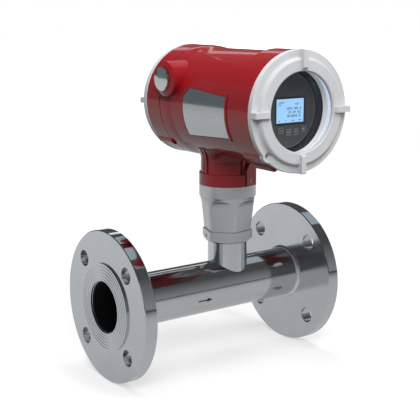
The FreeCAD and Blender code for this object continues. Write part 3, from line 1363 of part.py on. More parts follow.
def feed_through():
    body = make_body("feed_body")
    sketch = make_sketch(body, "Plug", "XZ_Plane", shift=(0, 0, -z["wall_front"]))
    add_circle(sketch, 0, 0, z["feed_hole_radius"] - z["seal_squeeze"])
    extrude(body, sketch, z["wall_thick"], back=True)
    collar = make_sketch(body, "Collar", "XZ_Plane", shift=(0, 0, -WALL_BACK))
    add_circle(collar, 0, 0, z["feed_hole_radius"] + z["seal_seat_depth"] / 2)
    extrude(body, collar, z["seal_seat_depth"], back=True)
    place(body, x=z["stem_offset"] + z["feed_hole_x"], up=z["head_height"] + z["feed_hole_z"])
    return keep(body, "feed_through")


def terminal_spots():
    return [z["terminal_pitch"] * (k - (TERMINALS - 1) / 2) for k in range(TERMINALS)]


def terminal_block():
    body = make_body("terminal_block_body")
    end = WALL_BACK + z["block_depth"]
    low, top = z["block_rise"], z["block_rise"] + z["block_height"]
    outline = Outline(make_sketch(body, "Section", "YZ_Plane"))
    outline.to(WALL_BACK, low).to(end - z["block_step"], low)
    outline.to(end - z["block_step"], low + z["block_step_height"])
    outline.to(end, low + z["block_step_height"]).to(end, top).to(WALL_BACK, top)
    extrude(body, outline.close(), z["block_length"], both=True)
    wells = make_sketch(body, "ScrewWells", "XZ_Plane", shift=(0, 0, -end))
    middle = (low + z["block_step_height"] + top) / 2
    for across in terminal_spots():
        add_circle(wells, across, middle, z["terminal_well_radius"])
    extrude(body, wells, z["terminal_well_depth"], cut=True, back=True)
    return head(body, "terminal_block")


def terminal_screws():
    floor = WALL_BACK + z["block_depth"] - z["terminal_well_depth"]
    low = z["block_rise"] + z["block_step_height"]
    middle = (low + z["block_rise"] + z["block_height"]) / 2
    members = []
    for number, across in enumerate(terminal_spots()):
        body = make_body("TerminalScrew%d" % number)
        sketch = make_sketch(body, "Head", "XZ_Plane", shift=(0, 0, -floor))
        add_circle(sketch, 0, 0, z["terminal_screw_radius"])
        extrude(body, sketch, z["terminal_screw_head"], back=True)
        top = floor + z["terminal_screw_head"]
        slot = make_sketch(body, "Slot", "XZ_Plane", shift=(0, 0, -top))
        add_rectangle(slot, as_size(0), as_size(0), z["terminal_screw_radius"] * 3, z["terminal_slot"])
        extrude(body, slot, z["terminal_screw_head"] / 2, cut=True, back=True)
        place(body, x=z["stem_offset"] + across, up=z["head_height"] + middle)
        members.append(body)
    return group("terminal_screws", members)


def earth_screw():
    body = make_body("earth_body")
    sketch = make_sketch(body, "Washer", "XZ_Plane", shift=(0, 0, -WALL_BACK))
    add_circle(sketch, 0, 0, z["earth_washer_radius"])
    extrude(body, sketch, z["board_thick"], back=True)
    top = WALL_BACK + z["board_thick"]
    head_sketch = make_sketch(body, "Head", "XZ_Plane", shift=(0, 0, -top))
    add_hexagon(head_sketch, as_size(0), as_size(0), z["earth_head_radius"])
    extrude(body, head_sketch, z["earth_head_thick"], back=True)
    place(body, x=z["stem_offset"], up=z["head_height"] + z["earth_place"])
    return keep(body, "earth_screw")


# Cable entries


def entry_plug(name, side):
    body = make_body(name)
    seat = z["boss_reach"] + z["plug_seal_thick"]
    top, edge = seat + z["plug_head_thick"], z["plug_bevel"]
    shank = z["entry_radius"] - z["plug_shank_gap"]
    outline = Outline(make_sketch(body, "Section", "XY_Plane"))
    outline.to(seat - z["plug_shank_length"], 0).to(seat - z["plug_shank_length"], shank)
    outline.to(seat, shank).to(seat, z["plug_head_radius"])
    outline.to(top - edge, z["plug_head_radius"]).to(top, z["plug_head_radius"] - edge)
    outline.to(top, 0)
    revolve(body, outline.close(), "H_Axis")
    return at_entry(body, side)


def plug_seal(name, side):
    body = make_body(name)
    start, end = z["boss_reach"], z["boss_reach"] + z["plug_seal_thick"]
    outer = z["plug_head_radius"] - z["plug_bevel"]
    outline = Outline(make_sketch(body, "Section", "XY_Plane"))
    outline.to(start, z["entry_radius"]).to(end, z["entry_radius"])
    outline.to(end, outer).to(start, outer)
    revolve(body, outline.close(), "H_Axis")
    return at_entry(body, side)


def at_entry(body, side):
    turn = {"axis": Vector(0, 0, 1), "angle": 0 if side > 0 else 180}
    up = z["head_height"] + z["boss_rise"]
    return place(body, x=z["stem_offset"], y=z["boss_place"], up=up, **turn)


def entry_fittings():
    sides = (("Near", -1), ("Far", 1))
    group("entry_plugs", [entry_plug(name + "Plug", side) for name, side in sides])
    group("plug_seals", [plug_seal(name + "Washer", side) for name, side in sides])


# Assembly


def build():
    inlet, outlet = -z["raised_height"], z["face_to_face"] - z["raised_height"]
    flange("inlet_flange", inlet, False)
    flange("outlet_flange", outlet, True)
    fillet_weld("inlet_weld", inlet + z["flange_thick"], False)
    fillet_weld("outlet_weld", outlet - z["flange_thick"], True)
    meter_tube()
    sensor_stem()
    probe_holder()
    probe("heated_probe", z["heated_tip"], -0.5)
    probe("reference_probe", z["reference_tip"], 0.5)
    holder_seal()
    adapter()
    adapter_set_screws()
    neck_seal()
    housing()
    nameplate()
    neck_lock_screw()
    cover_lock_screws()
    entry_fittings()
    front_cover()
    window_glass()
    glass_ring()
    rear_cover()
    cover_seal("front_cover_seal", z["front_face"], -1)
    cover_seal("rear_cover_seal", z["rear_face"], 1)
    display_bezel()
    lcd_panel()
    for label, spot in zip(("key_one", "key_two", "key_three", "key_four"), KEY_SPOTS):
        key(label, spot)
    key_switches()
    display_board()
    board_screws()
    posts("front_posts", z["board_thick"] - DISPLAY_BOARD, -MAIN_BOARD)
    loaded_board("main_board", MAIN_BOARD, MAIN_CHIPS)
    posts("middle_posts", z["board_thick"] - MAIN_BOARD, -POWER_BOARD)
    loaded_board("power_board", POWER_BOARD, POWER_CHIPS)
    posts("rear_posts", z["board_thick"] - POWER_BOARD, z["wall_front"])
    feed_through()
    terminal_block()
    terminal_screws()
    earth_screw()


def check_and_write():
    doc.recompute()
    faults = []
    for item in doc.Objects:
        if "Invalid" in item.State or "Error" in item.State:
            faults.append(item.Name)
    for part in parts:
        if part.Shape.isNull() or not part.Shape.isValid():
            faults.append(part.Label + " shape")
    if faults:
        raise RuntimeError("failed: " + ", ".join(faults))
    os.makedirs("parts", exist_ok=True)
    for part in parts:
        part.Shape.exportStep(os.path.join("parts", part.Label + ".step"))
        box = part.Shape.BoundBox
        report = (part.Label, len(part.Shape.Solids), part.Shape.Volume / 1000, box.YMin, box.YMax)
        print("%-20s solids %d  volume %.2f cm3  y %.1f to %.1f" % report)


build()
check_and_write()
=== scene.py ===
import math

import bmesh
import bpy
from mathutils import Matrix, Vector


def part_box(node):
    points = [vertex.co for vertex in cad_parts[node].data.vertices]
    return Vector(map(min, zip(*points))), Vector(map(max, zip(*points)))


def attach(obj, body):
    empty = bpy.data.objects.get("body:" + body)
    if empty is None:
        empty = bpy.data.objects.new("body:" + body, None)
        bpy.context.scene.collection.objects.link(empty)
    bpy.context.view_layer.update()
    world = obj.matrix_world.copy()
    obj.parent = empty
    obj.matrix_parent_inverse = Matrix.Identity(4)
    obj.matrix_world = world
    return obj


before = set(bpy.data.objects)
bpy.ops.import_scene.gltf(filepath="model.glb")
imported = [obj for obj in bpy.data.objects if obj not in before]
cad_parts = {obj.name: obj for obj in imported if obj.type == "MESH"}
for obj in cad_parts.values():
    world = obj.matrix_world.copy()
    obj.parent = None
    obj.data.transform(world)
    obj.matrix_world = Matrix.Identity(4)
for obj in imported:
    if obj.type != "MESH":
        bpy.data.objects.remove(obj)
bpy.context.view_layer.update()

MM = 0.001

# Places taken from the parts of model.glb


def middle(node):
    low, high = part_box(node)
    return (Vector(low) + Vector(high)) / 2


STEM_X = middle("sensor_stem").x
BARREL_Z = middle("window_glass").z
TUBE_RADIUS = (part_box("meter_tube")[1][1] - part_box("meter_tube")[0][1]) / 2
FLOOR_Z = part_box("inlet_flange")[0][2]
FLANGE_RADIUS = -FLOOR_Z
SEALING_FACE_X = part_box("inlet_flange")[0][0]
HEAD_CENTRE = Vector((STEM_X, 0, BARREL_Z))
SCREEN_LOW, SCREEN_HIGH = (Vector(corner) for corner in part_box("lcd_panel"))
SCREEN_CENTRE = (SCREEN_LOW + SCREEN_HIGH) / 2
SCREEN_FACE = SCREEN_LOW.y
BEZEL_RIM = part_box("display_bezel")[0][1]
GLASS_RADIUS = (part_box("window_glass")[1][0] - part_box("window_glass")[0][0]) / 2
KEYS = ("key_one", "key_two", "key_three", "key_four")
KEY_BODIES = ("first_key", "second_key", "third_key", "fourth_key")

# Sizes and strengths that the materials use

# Where the pipe's bore is painted near black as shade
BORE_SHADE_INSET = 0.6 * MM
BORE_SHADE_BELOW_TOP = 1.0 * MM
RING_PITCH = 0.45 * MM
RIM_DEPTH = 0.5 * MM
WELD_RIPPLES = 90
PLUG_DOME = 9.0
BEZEL_FACE_RADIUS = 39.2 * MM
# Width of the painted highlight line at the edge of the bezel face
BEZEL_HIGHLIGHT_WIDTH = 0.6 * MM
# Strength of the painted glow on the ring behind the glass
PAINTED_WALL_GLOW = 0.15
GLASS_EDGE_WIDTH = 1.0 * MM
GLASS_EDGE_ALPHA = 0.5
MIRROR_STRAIGHT = 0.03
MIRROR_AT_SLANT = 0.9
LIT_HALF_WIDE, LIT_HALF_TALL = 18.3 * MM, 12.3 * MM
LIT_DEPTH = 0.2 * MM
SCREEN_GLOW = 0.95
TRACE_ACROSS, TRACE_UP, TRACE_LEVEL = 1800, 1300, 0.55

# Shader arithmetic


class Value:
    """A socket that changes over a surface, with arithmetic."""

    def __init__(self, surface, socket):
        self.surface = surface
        self.socket = socket

    def _math(self, operation, first, second=None):
        inputs = {0: first} if second is None else {0: first, 1: second}
        return self.surface.node("ShaderNodeMath", {"operation": operation}, inputs)[0]

    def __add__(self, other):
        return self._math("ADD", self, other)

    __radd__ = __add__

    def __sub__(self, other):
        return self._math("SUBTRACT", self, other)

    def __rsub__(self, other):
        return self._math("SUBTRACT", other, self)

    def __mul__(self, other):
        return self._math("MULTIPLY", self, other)

    __rmul__ = __mul__

    def __gt__(self, other):
        return self._math("GREATER_THAN", self, other)

    def __lt__(self, other):
        return self._math("LESS_THAN", self, other)

    def __pow__(self, other):
        return self._math("POWER", self, other)

    def magnitude(self):
        return self._math("ABSOLUTE", self)

    def wave(self):
        return self._math("SINE", self)

    def larger(self, other):
        return self._math("MAXIMUM", self, other)

    def smaller(self, other):
        return self._math("MINIMUM", self, other)


class Outputs:
    """A node's outputs, by number or name, each as a Value."""

    def __init__(self, surface, node):
        self.surface = surface
        self.node = node

    def __getitem__(self, key):
        return Value(self.surface, self.node.outputs[key])


class Surface:
    """A material under construction round one Principled shader."""

    def __init__(self, name, tree=None, **uniform):
        if tree is None:
            self.material = bpy.data.materials.new(name)
            self.material.use_nodes = True
            tree = self.material.node_tree
        self.tree = tree
        self.shader = tree.nodes.get("Principled BSDF")
        for key, value in uniform.items():
            socket = self.shader.inputs[key.replace("_", " ").title()]
            socket.default_value = (*value, 1) if isinstance(value, tuple) else value

    def node(self, kind, settings=None, inputs=None):
        made = self.tree.nodes.new(kind)
        for key, value in (settings or {}).items():
            setattr(made, key, value)
        for key, value in (inputs or {}).items():
            self.feed(made.inputs[key], value)
        return Outputs(self, made)

    def feed(self, socket, value):
        if isinstance(value, Value):
            self.tree.links.new(value.socket, socket)
        elif isinstance(value, tuple) and socket.type == "RGBA":
            socket.default_value = (*value, 1)
        else:
            socket.default_value = value

    def drive(self, name, value):
        self.feed(self.shader.inputs[name], value)
        return self

    def place(self, centre=(0, 0, 0)):
        """Object coordinates about a centre."""
        raw = self.node("ShaderNodeTexCoord")["Object"]
        if not any(centre):
            return raw
        moved = {"Vector": raw, "Location": tuple(-value for value in centre)}
        return self.node("ShaderNodeMapping", None, moved)[0]

    def axes(self, centre=(0, 0, 0)):
        parts = self.node("ShaderNodeSeparateXYZ", None, {0: self.place(centre)})
        return parts[0], parts[1], parts[2]

    def noise(self, scale, detail=3.0, stretch=(1, 1, 1)):
        scaled = self.place()
        if stretch != (1, 1, 1):
            scaled = self.node("ShaderNodeMapping", None, {"Vector": scaled, "Scale": stretch})[0]
        inputs = {"Vector": scaled, "Scale": scale, "Detail": detail, "Roughness": 0.5}
        return self.node("ShaderNodeTexNoise", None, inputs)["Fac"]

    def blend(self, factor, low, high):
        """A colour between two colours."""
        settings = {"data_type": "RGBA"}
        inputs = {0: factor, 6: low, 7: high}
        return self.node("ShaderNodeMix", settings, inputs)[2]

    def bump(self, height, distance, strength=1.0):
        inputs = {"Height": height, "Distance": distance, "Strength": strength}
        return self.drive("Normal", self.node("ShaderNodeBump", None, inputs)["Normal"])


def round_distance(across, up):
    return (across * across + up * up) ** 0.5


# Metals


def polished_pipe():
    """Mirror-polished pipe, with faint lengthwise drawing lines, and painted shade that makes its bore
    near black and matte.
    """
    surface = Surface("polished_pipe")
    _, across, up = surface.axes()
    inside = round_distance(across, up) < TUBE_RADIUS - BORE_SHADE_INSET
    # Painted shade: the bore, below a thin band at its top, is coloured near black and matte.
    painted_bore_shade = inside * (up < TUBE_RADIUS - BORE_SHADE_BELOW_TOP)
    lines = surface.noise(60, 2, stretch=(0.6, 14, 14))
    steel = surface.blend(lines, (0.6, 0.615, 0.63), (0.7, 0.715, 0.73))
    surface.drive("Base Color", surface.blend(painted_bore_shade, steel, (0.002, 0.002, 0.002)))
    surface.drive("Metallic", 1 - painted_bore_shade)
    surface.drive("Roughness", 0.07 + lines * 0.07 + painted_bore_shade * 0.8)
    return surface.bump(lines, 0.02 * MM, 0.5).material


def polished_stub():
    """The stem: polished, with faint upright lines."""
    surface = Surface("polished_stub", metallic=1.0)
    lines = surface.noise(70, 2, stretch=(12, 12, 0.8))
    surface.drive("Base Color", surface.blend(lines, (0.62, 0.635, 0.65), (0.74, 0.755, 0.77)))
    surface.drive("Roughness", 0.08 + lines * 0.08)
    return surface.bump(lines, 0.02 * MM, 0.5).material


def turned_flange():
    """Bright turned steel: fine rings on the faces, and a smooth polish on the rims."""
    surface = Surface("turned_flange", metallic=1.0)
    _, across, up = surface.axes()
    radius = round_distance(across, up)
    rings = (radius * (2 * math.pi / RING_PITCH)).wave()
    haze = surface.noise(35, 4)
    surface.drive("Base Color", surface.blend(haze, (0.6, 0.63, 0.665), (0.7, 0.73, 0.765)))
    rim = radius > FLANGE_RADIUS - RIM_DEPTH
    surface.drive("Roughness", 0.12 + haze * 0.06 - rim * 0.08)
    return surface.bump(rings, 0.004 * MM, 0.4).material


def weld_metal():
    """A bright bead with ripples round the pipe."""
    surface = Surface("weld_metal", metallic=1.0, roughness=0.14)
    _, across, up = surface.axes()
    angle = surface.node("ShaderNodeMath", {"operation": "ARCTAN2"}, {0: across, 1: up})[0]
    ripple = (angle * WELD_RIPPLES + surface.noise(40) * 2).wave()
    surface.drive("Base Color", surface.blend(surface.noise(90), (0.72, 0.72, 0.72), (0.82, 0.82, 0.81)))
    return surface.bump(ripple, 0.12 * MM, 0.7).material


def cast_aluminium():
    """Blasted casting: a fine, soft grain over a satin grey."""
    surface = Surface("cast_aluminium", metallic=0.85)
    grain = surface.noise(1400, 3)
    cloud = surface.noise(45, 3)
    surface.drive("Base Color", surface.blend(cloud, (0.56, 0.585, 0.61), (0.66, 0.685, 0.71)))
    surface.drive("Roughness", 0.25 + cloud * 0.08)
    return surface.bump(grain, 0.05 * MM, 0.5).material


def plain_steel(name, colour, roughness):
    """Small metal parts, a little smudged."""
    surface = Surface(name, metallic=1.0)
    smudge = surface.noise(220, 3)
    darker = tuple(value * 0.86 for value in colour)
    surface.drive("Base Color", surface.blend(smudge, darker, colour))
    surface.drive("Roughness", roughness + smudge * 0.1)
    return surface.material


def brushed_plate():
    """The bare nameplate: bright sheet, brushed along the barrel."""
    surface = Surface("brushed_plate", metallic=1.0)
    brush = surface.noise(700, 2, stretch=(1, 0.01, 1))
    surface.drive("Base Color", surface.blend(brush, (0.46, 0.49, 0.51), (0.54, 0.57, 0.59)))
    surface.drive("Roughness", 0.1 + brush * 0.06)
    return surface.bump(brush, 0.004 * MM, 0.3).material


def plug_face():
    """Bright plug, domed a little by its polishing."""
    surface = Surface("plug_face", metallic=1.0)
    _, across, up = surface.axes(tuple(middle("entry_plugs")))
    radius = round_distance(across, up)
    haze = surface.noise(220, 3)
    surface.drive("Base Color", surface.blend(haze, (0.62, 0.645, 0.66), (0.7, 0.725, 0.74)))
    surface.drive("Roughness", 0.08 + haze * 0.06)
    return surface.bump(radius * radius * -PLUG_DOME, 1.0).material


# Paints and plastics


def gloss_red():
    """Thick gloss paint on a casting, with a faint orange peel."""
    surface = Surface("gloss_red", coat_weight=0.65, coat_roughness=0.05, roughness=0.4)
    surface.shader.inputs["Specular IOR Level"].default_value = 0.25
    peel = surface.noise(240, 2)
    cloud = surface.noise(12, 2)
    surface.drive("Base Color", surface.blend(cloud, (0.27, 0.008, 0.012), (0.32, 0.01, 0.015)))
    return surface.bump(peel, 0.03 * MM, 0.35).material


def satin_grey():
    """Powder coat on the covers: pale grey with a fine, even texture."""
    surface = Surface("satin_grey", coat_weight=0.25, coat_roughness=0.25, roughness=0.38)
    grain = surface.noise(900, 2)
    cloud = surface.noise(20, 2)
    surface.drive("Base Color", surface.blend(cloud, (0.6, 0.605, 0.62), (0.65, 0.655, 0.67)))
    return surface.bump(grain, 0.03 * MM, 0.4).material


def moulded(name, colour, roughness):
    """Plastic, rubber or print with a fine grain."""
    surface = Surface(name)
    grain = surface.noise(700, 2)
    darker = tuple(value * 0.88 for value in colour)
    surface.drive("Base Color", surface.blend(grain, darker, colour))
    surface.drive("Roughness", roughness + grain * 0.08)
    return surface.bump(grain, 0.02 * MM, 0.4).material


def bezel_plastic():
    """Charcoal round the screen, with a painted pale highlight line at the face's edge, and painted
    shade that darkens the glossier cone and rim about it.
    """
    surface = Surface("bezel_plastic")
    across, _, up = surface.axes(tuple(HEAD_CENTRE))
    radius = round_distance(across, up)
    # Painted shade: the cone and rim beyond the face are coloured near black.
    shaded_cone = radius > BEZEL_FACE_RADIUS
    # Painted highlight: a pale line along the outer edge of the face.
    edge_highlight = (radius > BEZEL_FACE_RADIUS - BEZEL_HIGHLIGHT_WIDTH) * (1 - shaded_cone)
    grain = surface.noise(700, 2)
    face = surface.blend(grain, (0.042, 0.044, 0.047), (0.05, 0.053, 0.056))
    face = surface.blend(edge_highlight, face, (0.13, 0.135, 0.14))
    surface.drive("Base Color", surface.blend(shaded_cone, face, (0.006, 0.006, 0.007)))
    surface.drive("Roughness", 0.42 - shaded_cone * 0.24)
    return surface.bump(grain, 0.02 * MM, 0.3).material


def pale_wall():
    """The ring behind the glass: pale plastic, brightened by a painted white glow."""
    surface = Surface("pale_ring_plastic", roughness=0.35)
    cloud = surface.noise(60, 2)
    surface.drive("Base Color", surface.blend(cloud, (0.76, 0.74, 0.72), (0.84, 0.82, 0.8)))
    # Painted light: a faint white glow, though the ring is no lamp.
    surface.drive("Emission Color", (1.0, 1.0, 1.0))
    surface.shader.inputs["Emission Strength"].default_value = PAINTED_WALL_GLOW
    return surface.material


def window_pane():
    """Clear thick glass: it mirrors more at a slant, and its edge is tinted blue with a painted faint
    blue glow.
    """
    surface = Surface("window_pane", metallic=1.0, roughness=0.02)
    across, _, up = surface.axes(tuple(HEAD_CENTRE))
    edge = round_distance(across, up) > GLASS_RADIUS - GLASS_EDGE_WIDTH
    slant = surface.node("ShaderNodeLayerWeight", None, {"Blend": 0.5})["Facing"]
    mirror = slant ** 5 * MIRROR_AT_SLANT + MIRROR_STRAIGHT
    surface.drive("Base Color", surface.blend(edge, (0.95, 0.98, 1.0), (0.6, 0.68, 0.75)))
    # Painted light: the edge glows faintly blue, though the glass is no lamp.
    surface.drive("Emission Color", surface.blend(edge, (0.0, 0.0, 0.0), (0.5, 0.64, 0.85)))
    surface.shader.inputs["Emission Strength"].default_value = 1.0
    surface.drive("Alpha", (mirror * (1 - edge)).larger(edge * GLASS_EDGE_ALPHA))
    return surface.material


def lit_screen():
    """A sky-blue backlight, a little uneven, inside a black frame."""
    surface = Surface("lit_screen", roughness=0.25)
    across, along, up = surface.axes((SCREEN_CENTRE.x, 0, SCREEN_CENTRE.z))
    frame_mask = (across.magnitude() > LIT_HALF_WIDE).larger(up.magnitude() > LIT_HALF_TALL)
    frame_mask = frame_mask.larger(along > SCREEN_FACE + LIT_DEPTH)
    glow = surface.noise(30, 1)
    blue = surface.blend(glow, (0.3, 0.6, 0.93), (0.37, 0.66, 1.0))
    surface.drive("Base Color", surface.blend(frame_mask, (0.05, 0.09, 0.14), (0.004, 0.004, 0.005)))
    surface.drive("Emission Color", surface.blend(frame_mask, blue, (0.0, 0.0, 0.0)))
    surface.shader.inputs["Emission Strength"].default_value = SCREEN_GLOW
    return surface.material


def circuit_board():
    """Green lacquer with paler traces in a fine pattern."""
    surface = Surface("circuit_board", roughness=0.3, coat_weight=0.4)
    across, _, up = surface.axes(tuple(HEAD_CENTRE))
    tracks = ((across * TRACE_ACROSS).wave() * (up * TRACE_UP).wave()) > TRACE_LEVEL
    surface.drive("Base Color", surface.blend(tracks, (0.01, 0.12, 0.05), (0.03, 0.24, 0.1)))
    return surface.material


MATERIALS = {
    "meter_tube": polished_pipe(),
    "sensor_stem": polished_stub(),
    "turned_flange": turned_flange(),
    "weld": weld_metal(),
    "adapter": cast_aluminium(),
    "small_steel": plain_steel("small_steel", (0.5, 0.5, 0.51), 0.22),
    "plug": plug_face(),
    "plate": brushed_plate(),
    "red": gloss_red(),
    "grey": satin_grey(),
    "glass": window_pane(),
    "pale": pale_wall(),
    "dark": moulded("display_plastic", (0.05, 0.053, 0.056), 0.42),
    "bezel": bezel_plastic(),
    "key": moulded("key_plastic", (0.045, 0.048, 0.052), 0.5),
    "rubber": moulded("seal_rubber_black", (0.02, 0.02, 0.02), 0.6),
    "screen": lit_screen(),
    "board": circuit_board(),
    "brass": plain_steel("nickel_brass", (0.62, 0.55, 0.38), 0.25),
    "block": moulded("block_plastic_green", (0.03, 0.17, 0.08), 0.4),
    "ink": moulded("print_ink", (0.02, 0.02, 0.022), 0.5),
    "gloss_black": moulded("border_print", (0.004, 0.004, 0.005), 0.25),
    "digits": moulded("screen_digits", (0.02, 0.05, 0.16), 0.5),
    "marks": moulded("key_marks_grey", (0.3, 0.305, 0.31), 0.5),
}

NODE_FINISH = {
    "meter_tube": ["meter_tube"],
    "sensor_stem": ["sensor_stem"],
    "turned_flange": ["inlet_flange", "outlet_flange"],
    "weld": ["inlet_weld", "outlet_weld"],
    "adapter": ["adapter"],
    "small_steel": [
        "probe_holder", "heated_probe", "reference_probe", "adapter_set_screws", "neck_lock_screw",
        "cover_lock_screws", "board_screws", "terminal_screws", "earth_screw",
    ],
    "plug": ["entry_plugs"],
    "plate": ["nameplate"],
    "red": ["housing"],
    "grey": ["front_cover", "rear_cover"],
    "glass": ["window_glass"],
    "pale": ["glass_ring"],
    "dark": ["key_switches", "feed_through"],
    "bezel": ["display_bezel"],
    "key": list(KEYS),
    "rubber": ["holder_seal", "neck_seal", "plug_seals", "front_cover_seal", "rear_cover_seal"],
    "screen": ["lcd_panel"],
    "board": ["display_board", "main_board", "power_board"],
    "brass": ["front_posts", "middle_posts", "rear_posts"],
    "block": ["terminal_block"],
}


def dress_nodes():
    for finish, nodes in NODE_FINISH.items():
        for node in nodes:
            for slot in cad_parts[node].material_slots:
                slot.material = MATERIALS[finish]


# New pieces


def mesh_object(name, shape, material):
    """Turn a bmesh into an object of one material, in the scene."""
    mesh = bpy.data.meshes.new(name)
    shape.to_mesh(mesh)
    shape.free()
    mesh.materials.append(material)
    made = bpy.data.objects.new(name, mesh)
    bpy.context.scene.collection.objects.link(made)
    return made


def add_piece(name, shape, finish, body):
    """Turn a bmesh into a piece that rides on a body."""
    bmesh.ops.recalc_face_normals(shape, faces=shape.faces)
    piece = mesh_object(name, shape, MATERIALS[finish])
    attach(piece, body)


def add_box(shape, centre, size):
    """A box into a bmesh, by its centre and its three sides."""
    matrix = Matrix.Translation(centre) @ Matrix.Diagonal((*size, 1))
    bmesh.ops.create_cube(shape, size=1, matrix=matrix)


def add_flat(shape, points, thickness, across, up, centre):
    """A thin prism from a flat outline in the plane of two directions."""
    out = Vector(across).cross(Vector(up)) * thickness
    corners = [Vector(centre) + Vector(across) * u + Vector(up) * v for u, v in points]
    face = shape.faces.new([shape.verts.new(corner) for corner in corners])
    grown = bmesh.ops.extrude_face_region(shape, geom=[face])["geom"]
    moved = [item for item in grown if isinstance(item, bmesh.types.BMVert)]
    bmesh.ops.translate(shape, verts=moved, vec=out)


# A flow arrow printed on the tube

ARROW_LENGTH = 19 * MM
ARROW_HEIGHT = 5 * MM
ARROW_SHAFT = 1.5 * MM
ARROW_HEAD = 7 * MM
ARROW_X = SEALING_FACE_X + 113 * MM
ARROW_ANGLE = math.radians(-12)
ARROW_CUTS = (-1.5 * MM, -0.75 * MM, 0, 0.75 * MM, 1.5 * MM)
PRINT_THICK = 0.06 * MM
PRINT_LIFT = 0.01 * MM


def flow_arrow():
    """A flat arrow, cut into strips and wrapped round the tube."""
    shape = bmesh.new()
    half, shaft, tail = ARROW_HEIGHT / 2, ARROW_SHAFT / 2, -ARROW_LENGTH / 2
    neck = ARROW_LENGTH / 2 - ARROW_HEAD
    outline = [(tail, -shaft), (neck, -shaft), (neck, -half), (-tail, 0)]
    outline += [(neck, half), (neck, shaft), (tail, shaft)]
    add_flat(shape, outline, PRINT_THICK, (1, 0, 0), (0, 1, 0), (0, 0, 0))
    bmesh.ops.triangulate(shape, faces=shape.faces)
    for level in ARROW_CUTS:
        everything = shape.verts[:] + shape.edges[:] + shape.faces[:]
        plane = Vector((0, level, 0))
        bmesh.ops.bisect_plane(shape, geom=everything, plane_co=plane, plane_no=(0, 1, 0))
    for vert in shape.verts:
        radius = TUBE_RADIUS + PRINT_LIFT + vert.co.z
        angle = ARROW_ANGLE + vert.co.y / TUBE_RADIUS
        vert.co = Vector((ARROW_X + vert.co.x, -radius * math.cos(angle), radius * math.sin(angle)))
    add_piece("flow_arrow", shape, "ink", "meter")


# What the screen shows: generic figures made of short bars.
# A bar: its place in half widths and half heights, and whether it lies level.

BARS = {
    "top": (0, 1, True), "middle": (0, 0, True), "bottom": (0, -1, True),
    "left_high": (-1, 0.5, False), "left_low": (-1, -0.5, False),
    "right_high": (1, 0.5, False), "right_low": (1, -0.5, False),
}
FIGURES = {
    "0": ("top", "bottom", "left_high", "left_low", "right_high", "right_low"),
    "1": ("right_high", "right_low"),
    "2": ("top", "middle", "bottom", "right_high", "left_low"),
    "3": ("top", "middle", "bottom", "right_high", "right_low"),
    "4": ("middle", "left_high", "right_high", "right_low"),
    "5": ("top", "middle", "bottom", "left_high", "right_low"),
    "8": ("top", "middle", "bottom", "left_high", "left_low", "right_high", "right_low"),
}
# A row: its figures, their right end and height from the screen's centre in mm, and their scale
SCREEN_ROWS = [
    ("0248", -9.5, 8.6, 0.85), ("48", -13.5, 6.2, 0.85), ("452", 10.5, 6.8, 0.95),
    ("1023.485 0", 14.0, 2.3, 1.2), ("25.04 50", 13.0, -1.6, 1.2), ("3012845 8", 13.0, -5.4, 1.2),
]
FIGURE_PITCH = 1.72
FIGURE_WIDE = 0.52
FIGURE_TALL = 0.86
BAR_THICK = 0.34
# Short marks along the foot of the screen: place and width in mm
FOOT_MARKS = ((-15, 2.2), (-6, 1.6), (4, 3.2), (13, 3.2))
FOOT_MARKS_UP = -10.2
FOOT_MARK_TALL = 0.7


def write_figures(shape, text, right, up, scale):
    """Figures set to end at a place, on the face of the screen."""
    y = SCREEN_FACE - PRINT_THICK / 2
    for step, letter in enumerate(reversed(text)):
        x = SCREEN_CENTRE.x + (right - step * FIGURE_PITCH * scale) * MM
        z = SCREEN_CENTRE.z + up * MM
        if letter == ".":
            size = (BAR_THICK * MM, PRINT_THICK, BAR_THICK * MM)
            add_box(shape, (x, y, z - FIGURE_TALL * scale * MM), size)
        for bar in FIGURES.get(letter, ()):
            side, rise, level = BARS[bar]
            wide = FIGURE_WIDE * 2 if level else BAR_THICK
            tall = BAR_THICK if level else FIGURE_TALL
            size = (wide * scale * MM, PRINT_THICK, tall * scale * MM)
            bar_x = x + side * FIGURE_WIDE * scale * MM
            bar_z = z + rise * FIGURE_TALL * scale * MM
            add_box(shape, (bar_x, y, bar_z), size)


def screen_figures():
    shape = bmesh.new()
    for text, right, up, scale in SCREEN_ROWS:
        write_figures(shape, text, right, up, scale)
    y = SCREEN_FACE - PRINT_THICK / 2
    z = SCREEN_CENTRE.z + FOOT_MARKS_UP * MM
    for across, wide in FOOT_MARKS:
        size = (wide * MM, PRINT_THICK, FOOT_MARK_TALL * MM)
        add_box(shape, (SCREEN_CENTRE.x + across * MM, y, z), size)
    add_piece("screen_figures", shape, "digits", "head")


# A black border printed round the screen

WINDOW_SIZE = (38.4 * MM, 26.0 * MM)
WINDOW_DEPTH = 0.6 * MM
BORDER_WIDTH = 1.7 * MM


def screen_border():
    face = SCREEN_FACE - WINDOW_DEPTH - PRINT_THICK / 2
    wide, tall = WINDOW_SIZE
    shape = bmesh.new()
    for side in (-1, 1):
        upright = (SCREEN_CENTRE.x + side * (wide + BORDER_WIDTH) / 2, face, SCREEN_CENTRE.z)
        add_box(shape, upright, (BORDER_WIDTH, PRINT_THICK, tall + BORDER_WIDTH * 2))
        level = (SCREEN_CENTRE.x, face, SCREEN_CENTRE.z + side * (tall + BORDER_WIDTH) / 2)
        add_box(shape, level, (wide, PRINT_THICK, BORDER_WIDTH))
    add_piece("screen_border", shape, "gloss_black", "head")


# Marks on the keys: a thin square frame, and a sign whose outline is in mm

